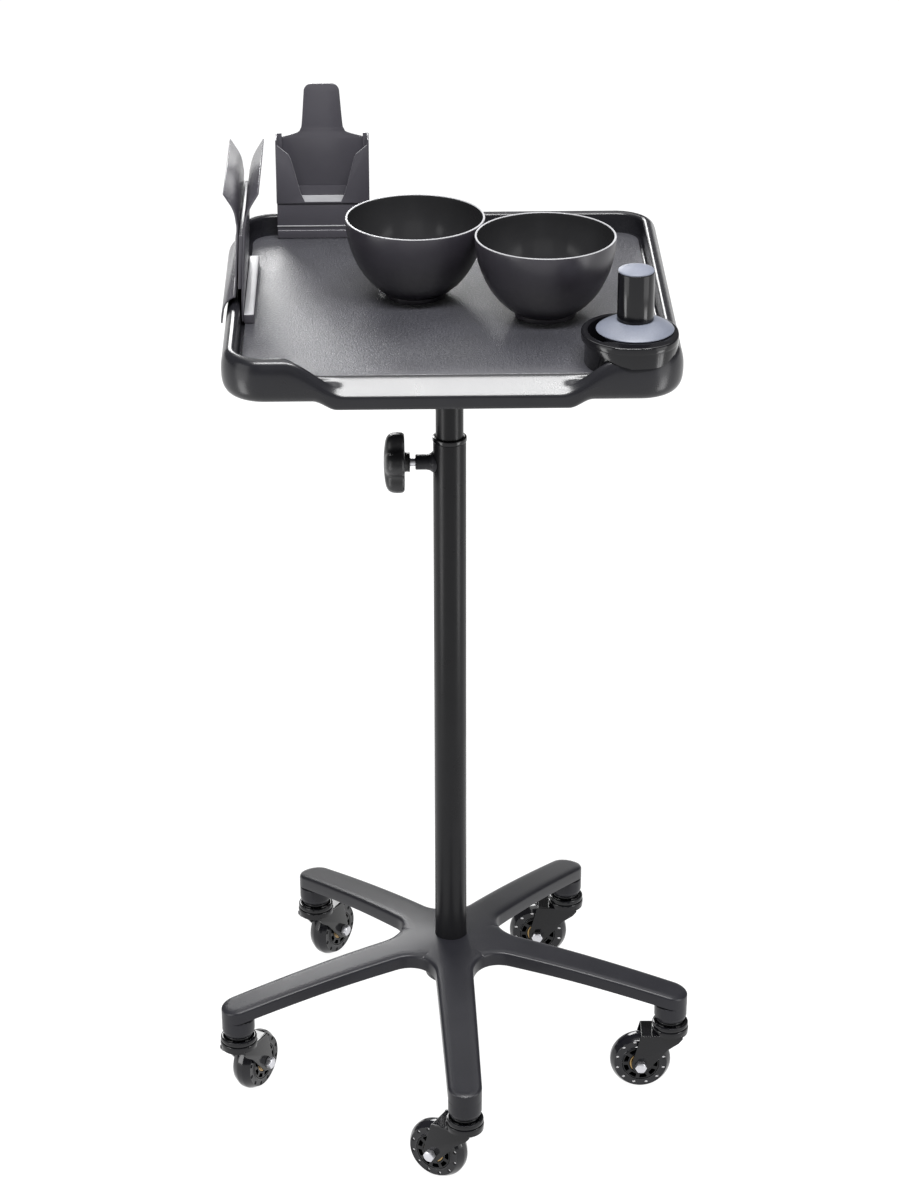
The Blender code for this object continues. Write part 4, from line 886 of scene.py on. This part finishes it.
def build_rear_holder():
    left, right = -0.1667, -0.0750
    middle, half = (left + right) / 2, (right - left) / 2
    front, back = 0.1905, 0.2125
    low, high = 0.8680, 0.9340
    shoulder, tip, turn_r = 0.9285, 0.9838, 0.0080
    tongue = [(middle + half, 0.8600), (middle + half, shoulder)]
    tongue += smoothed([(middle + half, shoulder), (middle + 0.0255, shoulder + 0.0055),
                        (middle + 0.0215, shoulder + 0.0095),
                        (middle + 0.0200, shoulder + 0.0155),
                        (middle + 0.0175, tip - turn_r)], 4)[1:]
    for degrees in range(9, 91, 9):
        a = math.radians(degrees)
        tongue.append((middle + 0.0095 + turn_r * math.cos(a), tip - turn_r + turn_r * math.sin(a)))
    sheet = plate([mirrored(tongue, middle)], -SHEET_T / 2, SHEET_T / 2, 0.0004)
    sheet = moved(sheet, y=back + SHEET_T / 2, tilt=math.pi / 2)
    hook = strip([(back + 0.0008, 0.8620), (back + 0.0020, 0.8580), (TRAY_REAR - 0.0010, 0.8545),
                  (TRAY_REAR + 0.0020, 0.8490), (TRAY_REAR + 0.0030, 0.8370)],
                 left + 0.0004, right - 0.0004, "X")
    piece("rear_back", sheet, SHEET, "rear_holder", ["rear_holder_back"])
    piece("rear_hook", hook, SHEET, "rear_holder")

    inner_back = back - 0.0003
    outside = cuboid((left, right), (front, inner_back), (low, high), 0.0009)
    inside = cuboid((left + SHEET_T, right - SHEET_T),
                    (front + SHEET_T, inner_back - SHEET_T), (low + 0.0020, 1.0))
    notch = rounded([(middle + half - 0.0012, 1.0), (middle + half - 0.0012, 0.9285),
                     (middle + half - 0.0125, 0.9190), (middle + half - 0.0150, 0.9140),
                     (middle + half - 0.0240, 0.8790), (middle + half - 0.0280, 0.8702)],
                    0.0030, 4)
    opening = moved(plate([mirrored(notch, middle)], -0.005, 0.005, 0.0001), y=front,
                    tilt=math.pi / 2)
    window = cuboid((left + 0.006, right - 0.006), (inner_back - 0.005, inner_back + 0.005),
                    (low + 0.012, 1.0))
    pocket = combined(outside, [inside, opening, window], "DIFFERENCE")
    made = piece("rear_pocket", softened(pocket, 0.0006), [SHEET, SHEET_HIGHLIGHT], "rear_holder",
                 ["rear_holder_pocket"])
    # Painted highlight: the pocket floor's ledge and the upward faces of the front cut-out take the
    # light grey highlight colour, the rest the plain sheet.
    for face in made.data.polygons:
        in_front = face.center.y - COLUMN.y < front + SHEET_T + 0.0004
        cut = face.normal.z > 0.05 and abs(face.normal.y) < 0.97 and face.center.z > low + 0.0018
        lit_ledge = face.normal.z > 0.5 and face.center.z < low + 0.004
        face.material_index = 1 if lit_ledge or (in_front and cut) else 0

    riser = cuboid((left + 0.0005, right - 0.0005), (front + 0.0012, front + 0.0042),
                   (FLOOR_Z + 0.0003, low - 0.0003), 0.0005)
    foot = cuboid((left + 0.0005, right - 0.0005), (front - 0.0004, front + 0.0100),
                  (FLOOR_Z + 0.0003, FLOOR_Z + 0.0090), 0.0009)
    # Painted highlight: a thin light grey strip on the front of the riser, standing in for a highlight
    # line.
    highlight_line = cuboid((left + 0.0002, right - 0.0002), (front + 0.0006, front + 0.0014),
                    (FLOOR_Z + 0.0122, FLOOR_Z + 0.0134), 0.0003)
    piece("rear_riser", riser, SHEET, "rear_holder", ["rear_holder_foot"])
    piece("rear_foot", foot, SHEET, "rear_holder")
    piece("rear_groove", highlight_line, SHEET_HIGHLIGHT, "rear_holder")


build_rear_holder()


# ---------------------------------------------------------------- corner pot
POT_X, POT_Y = 0.1645, -0.1450
CUP_X, CUP_Y, CUP_A, CUP_B = 0.1597, -0.1465, 0.0440, 0.0468    # centre and half axes
RIM_Z = 0.862


def cup_outline(inset):
    """The cup's plan, an oval that is squarer towards the tray's corner."""
    points = []
    for i in range(FINE):
        c, s = math.cos(2 * math.pi * i / FINE), math.sin(2 * math.pi * i / FINE)
        power = 0.8 if c > 0.0 > s else 1.0
        points.append((CUP_X + (CUP_A - inset) * math.copysign(abs(c) ** power, c),
                       CUP_Y + (CUP_B - inset) * math.copysign(abs(s) ** power, s)))
    return points


def cup_mesh():
    flange_low, skirt_low = RIM_Z - 0.0070, FLOOR_Z + 0.0100
    recess, wall = 0.0034, 0.0026
    flange = plate([cup_outline(0.0)], flange_low, RIM_Z, 0.0014)
    body = plate([cup_outline(recess)], FLOOR_Z + 0.0003, flange_low + 0.002, 0.0003)
    skirt = plate([cup_outline(0.0003)], skirt_low, flange_low + 0.003, 0.0003)
    slanted = loft([[(0.05, y, 0.70), (0.158, y, 0.70), (0.158, y, skirt_low + 0.0006),
                     (0.150, y, skirt_low + 0.0026), (0.124, y, flange_low - 0.0016),
                     (0.119, y, flange_low), (0.05, y, flange_low)] for y in (-0.25, -0.05)])
    skirt = combined(skirt, [slanted], "DIFFERENCE")
    hollow = plate([cup_outline(recess + wall)], FLOOR_Z + 0.0030, 1.0, 0.0001)
    inside = plate([floor_outline(0.0164)], FLOOR_Z, 1.1, 0.0001)
    hollow = combined(hollow, [inside], "INTERSECT")
    cup = combined(flange, [body, skirt], "UNION")
    # the tray's own edge section, grown by a little room, cuts the cup free of the tray
    room = 0.0008
    outside = [(-0.030, skirt_low - FLOOR_Z), (-0.030, -0.045)]
    full = [(0.0142, 0.0)] + FULL_RIM[2:8] + outside
    low = [(0.0172, 0.0)] + LOW_LIP[2:8] + outside
    rings = []
    for i, (a, b) in enumerate(zip(full, low)):
        ring = []
        for (x, y), (dx, dy) in plan():
            across = from_middle(x, dy)
            t = smooth_step(across, FULL_AT, INNER_AT if i < 4 else OUTER_AT) if i < 7 else 0.0
            grow = (-room if i < 3 else room) if i < 7 else 0.0
            reach = CORNER - mixed(a[0], b[0], t) + grow
            lift = 0.0 if i == 0 else room
            ring.append((x + dx * reach, y + dy * reach, FLOOR_Z + mixed(a[1], b[1], t) + lift))
        rings.append(ring)
    clearance = loft(rings, loop=True)
    return combined(cup, [hollow, clearance], "DIFFERENCE")


piece("cup", softened(cup_mesh(), 0.0003, 50), GLOSS, "tray", ["corner_cup"])
pot = Matrix.Translation(COLUMN + Vector((POT_X, POT_Y, 0)))
low = FLOOR_Z + 0.0033
dome = [(0, 0.8722), (0.0175, 0.8720), (0.0190, 0.8714), (0.0215, 0.8708), (0.0290, 0.8674),
        (0.0342, 0.8643), (0.0352, 0.8634), (0.0354, 0.8629), (0.0350, RIM_Z + 0.0003),
        (0.0262, RIM_Z + 0.0003), (0.0258, low), (0, low)]
piece("dome", turned(rounded(dome, 0.0012, 4), FINE), SLATE, "pot_lid", ["corner_pot_dome"],
      at=pot, sharp=50)
post = [(0, 0.9175), (0.0164, 0.9175), (0.0168, 0.8725), (0, 0.8725)]
piece("post", turned(rounded(post), FINE), GLOSS, "pot_lid", ["corner_pot_post"], at=pot)
cap = [(0, 0.9222), (0.0015, 0.9221), (0.0060, 0.9217), (0.0120, 0.9206), (0.0150, 0.9197),
       (0.0162, 0.9190), (0.0164, 0.9178), (0, 0.9178)]
piece("cap", turned(rounded(cap, 0.0008), FINE), SLATE, "pot_lid", ["corner_pot_cap"], at=pot)


# ---------------------------------------------------------------- floor, light and camera
FLOOR_GREY, FLOOR_GLOW, WORLD_LIGHT = 0.12, 0.96, 0.15
LENS, SENSOR = 101.57, 36.0
CAMERA_AT = COLUMN + Vector((-0.0533, -2.9919, 1.9589))
CAMERA_TURNS = ((-1.02, "Z"), (64.39, "X"), (-0.15, "Z"))       # degrees


def floor():
    bm = bmesh.new()
    bmesh.ops.create_grid(bm, x_segments=1, y_segments=1, size=40)
    mesh = bpy.data.meshes.new("floor")
    bm.to_mesh(mesh)
    bm.free()
    obj = linked("floor", mesh)
    look = bpy.data.materials.new("floor")
    look.use_nodes = True
    shader = look.node_tree.nodes["Principled BSDF"]
    shader.inputs["Base Color"].default_value = (FLOOR_GREY, FLOOR_GREY, FLOOR_GREY, 1)
    shader.inputs["Roughness"].default_value = 0.9
    shader.inputs["Specular IOR Level"].default_value = 0.1
    shader.inputs["Emission Color"].default_value = (1, 1, 1, 1)
    shader.inputs["Emission Strength"].default_value = FLOOR_GLOW
    mesh.materials.append(look)


def softbox(name, at, look_at, size, radiance):
    """A rectangular light that shows in reflections, but not to the camera."""
    light = bpy.data.lights.new(name, "AREA")
    light.shape = "RECTANGLE"
    light.size, light.size_y = size
    light.energy = radiance * math.pi * size[0] * size[1]
    obj = linked(name, light)
    aim = (Vector(look_at) - Vector(at)).to_track_quat("-Z", "Y")
    obj.matrix_world = Matrix.Translation(at) @ aim.to_matrix().to_4x4()
    obj.visible_camera = False


floor()
softbox("back", (-0.70, 3.0, 1.98), (-0.1, 0, 0.83), (1.10, 0.75), 15.0)
softbox("horizon", (0, 5.0, 0.75), (0, 0, 0.75), (5.0, 1.3), 0.8)
softbox("side_left", (-2.3, -1.3, 0.9), (0, 0, 0.6), (1.6, 2.2), 1.9)
softbox("side_right", (2.3, -1.2, 0.9), (0, 0, 0.6), (1.6, 2.2), 1.9)
softbox("low_left", (-0.88, -0.50, 0.30), (0, 0, 0.30), (0.30, 0.50), 6.0)
softbox("low_right", (0.88, -0.50, 0.30), (0, 0, 0.30), (0.30, 0.50), 6.0)
softbox("lip", (0.03, -1.04, 3.2), (0, -0.17, 0.83), (2.3, 0.36), 60.0)
softbox("front", (0.2, -4.6, 2.7), (0, 0, 0.7), (3.0, 1.6), 0.4)
softbox("top", (0, 0.9, 3.2), (0, 0, 0), (3.0, 2.6), 2.8)
world = bpy.data.worlds.new("studio")
world.use_nodes = True
world.node_tree.nodes["Background"].inputs["Color"].default_value = (1, 1, 1, 1)
world.node_tree.nodes["Background"].inputs["Strength"].default_value = WORLD_LIGHT
SCENE.world = world

camera = bpy.data.cameras.new("camera")
camera.lens = LENS
camera.sensor_width = SENSOR
eye = linked("camera", camera)
view = Matrix.Translation(CAMERA_AT)
for degrees, axis in CAMERA_TURNS:
    view = view @ Matrix.Rotation(math.radians(degrees), 4, axis)
eye.matrix_world = view
SCENE.camera = eye
SCENE.view_settings.view_transform = "Standard"
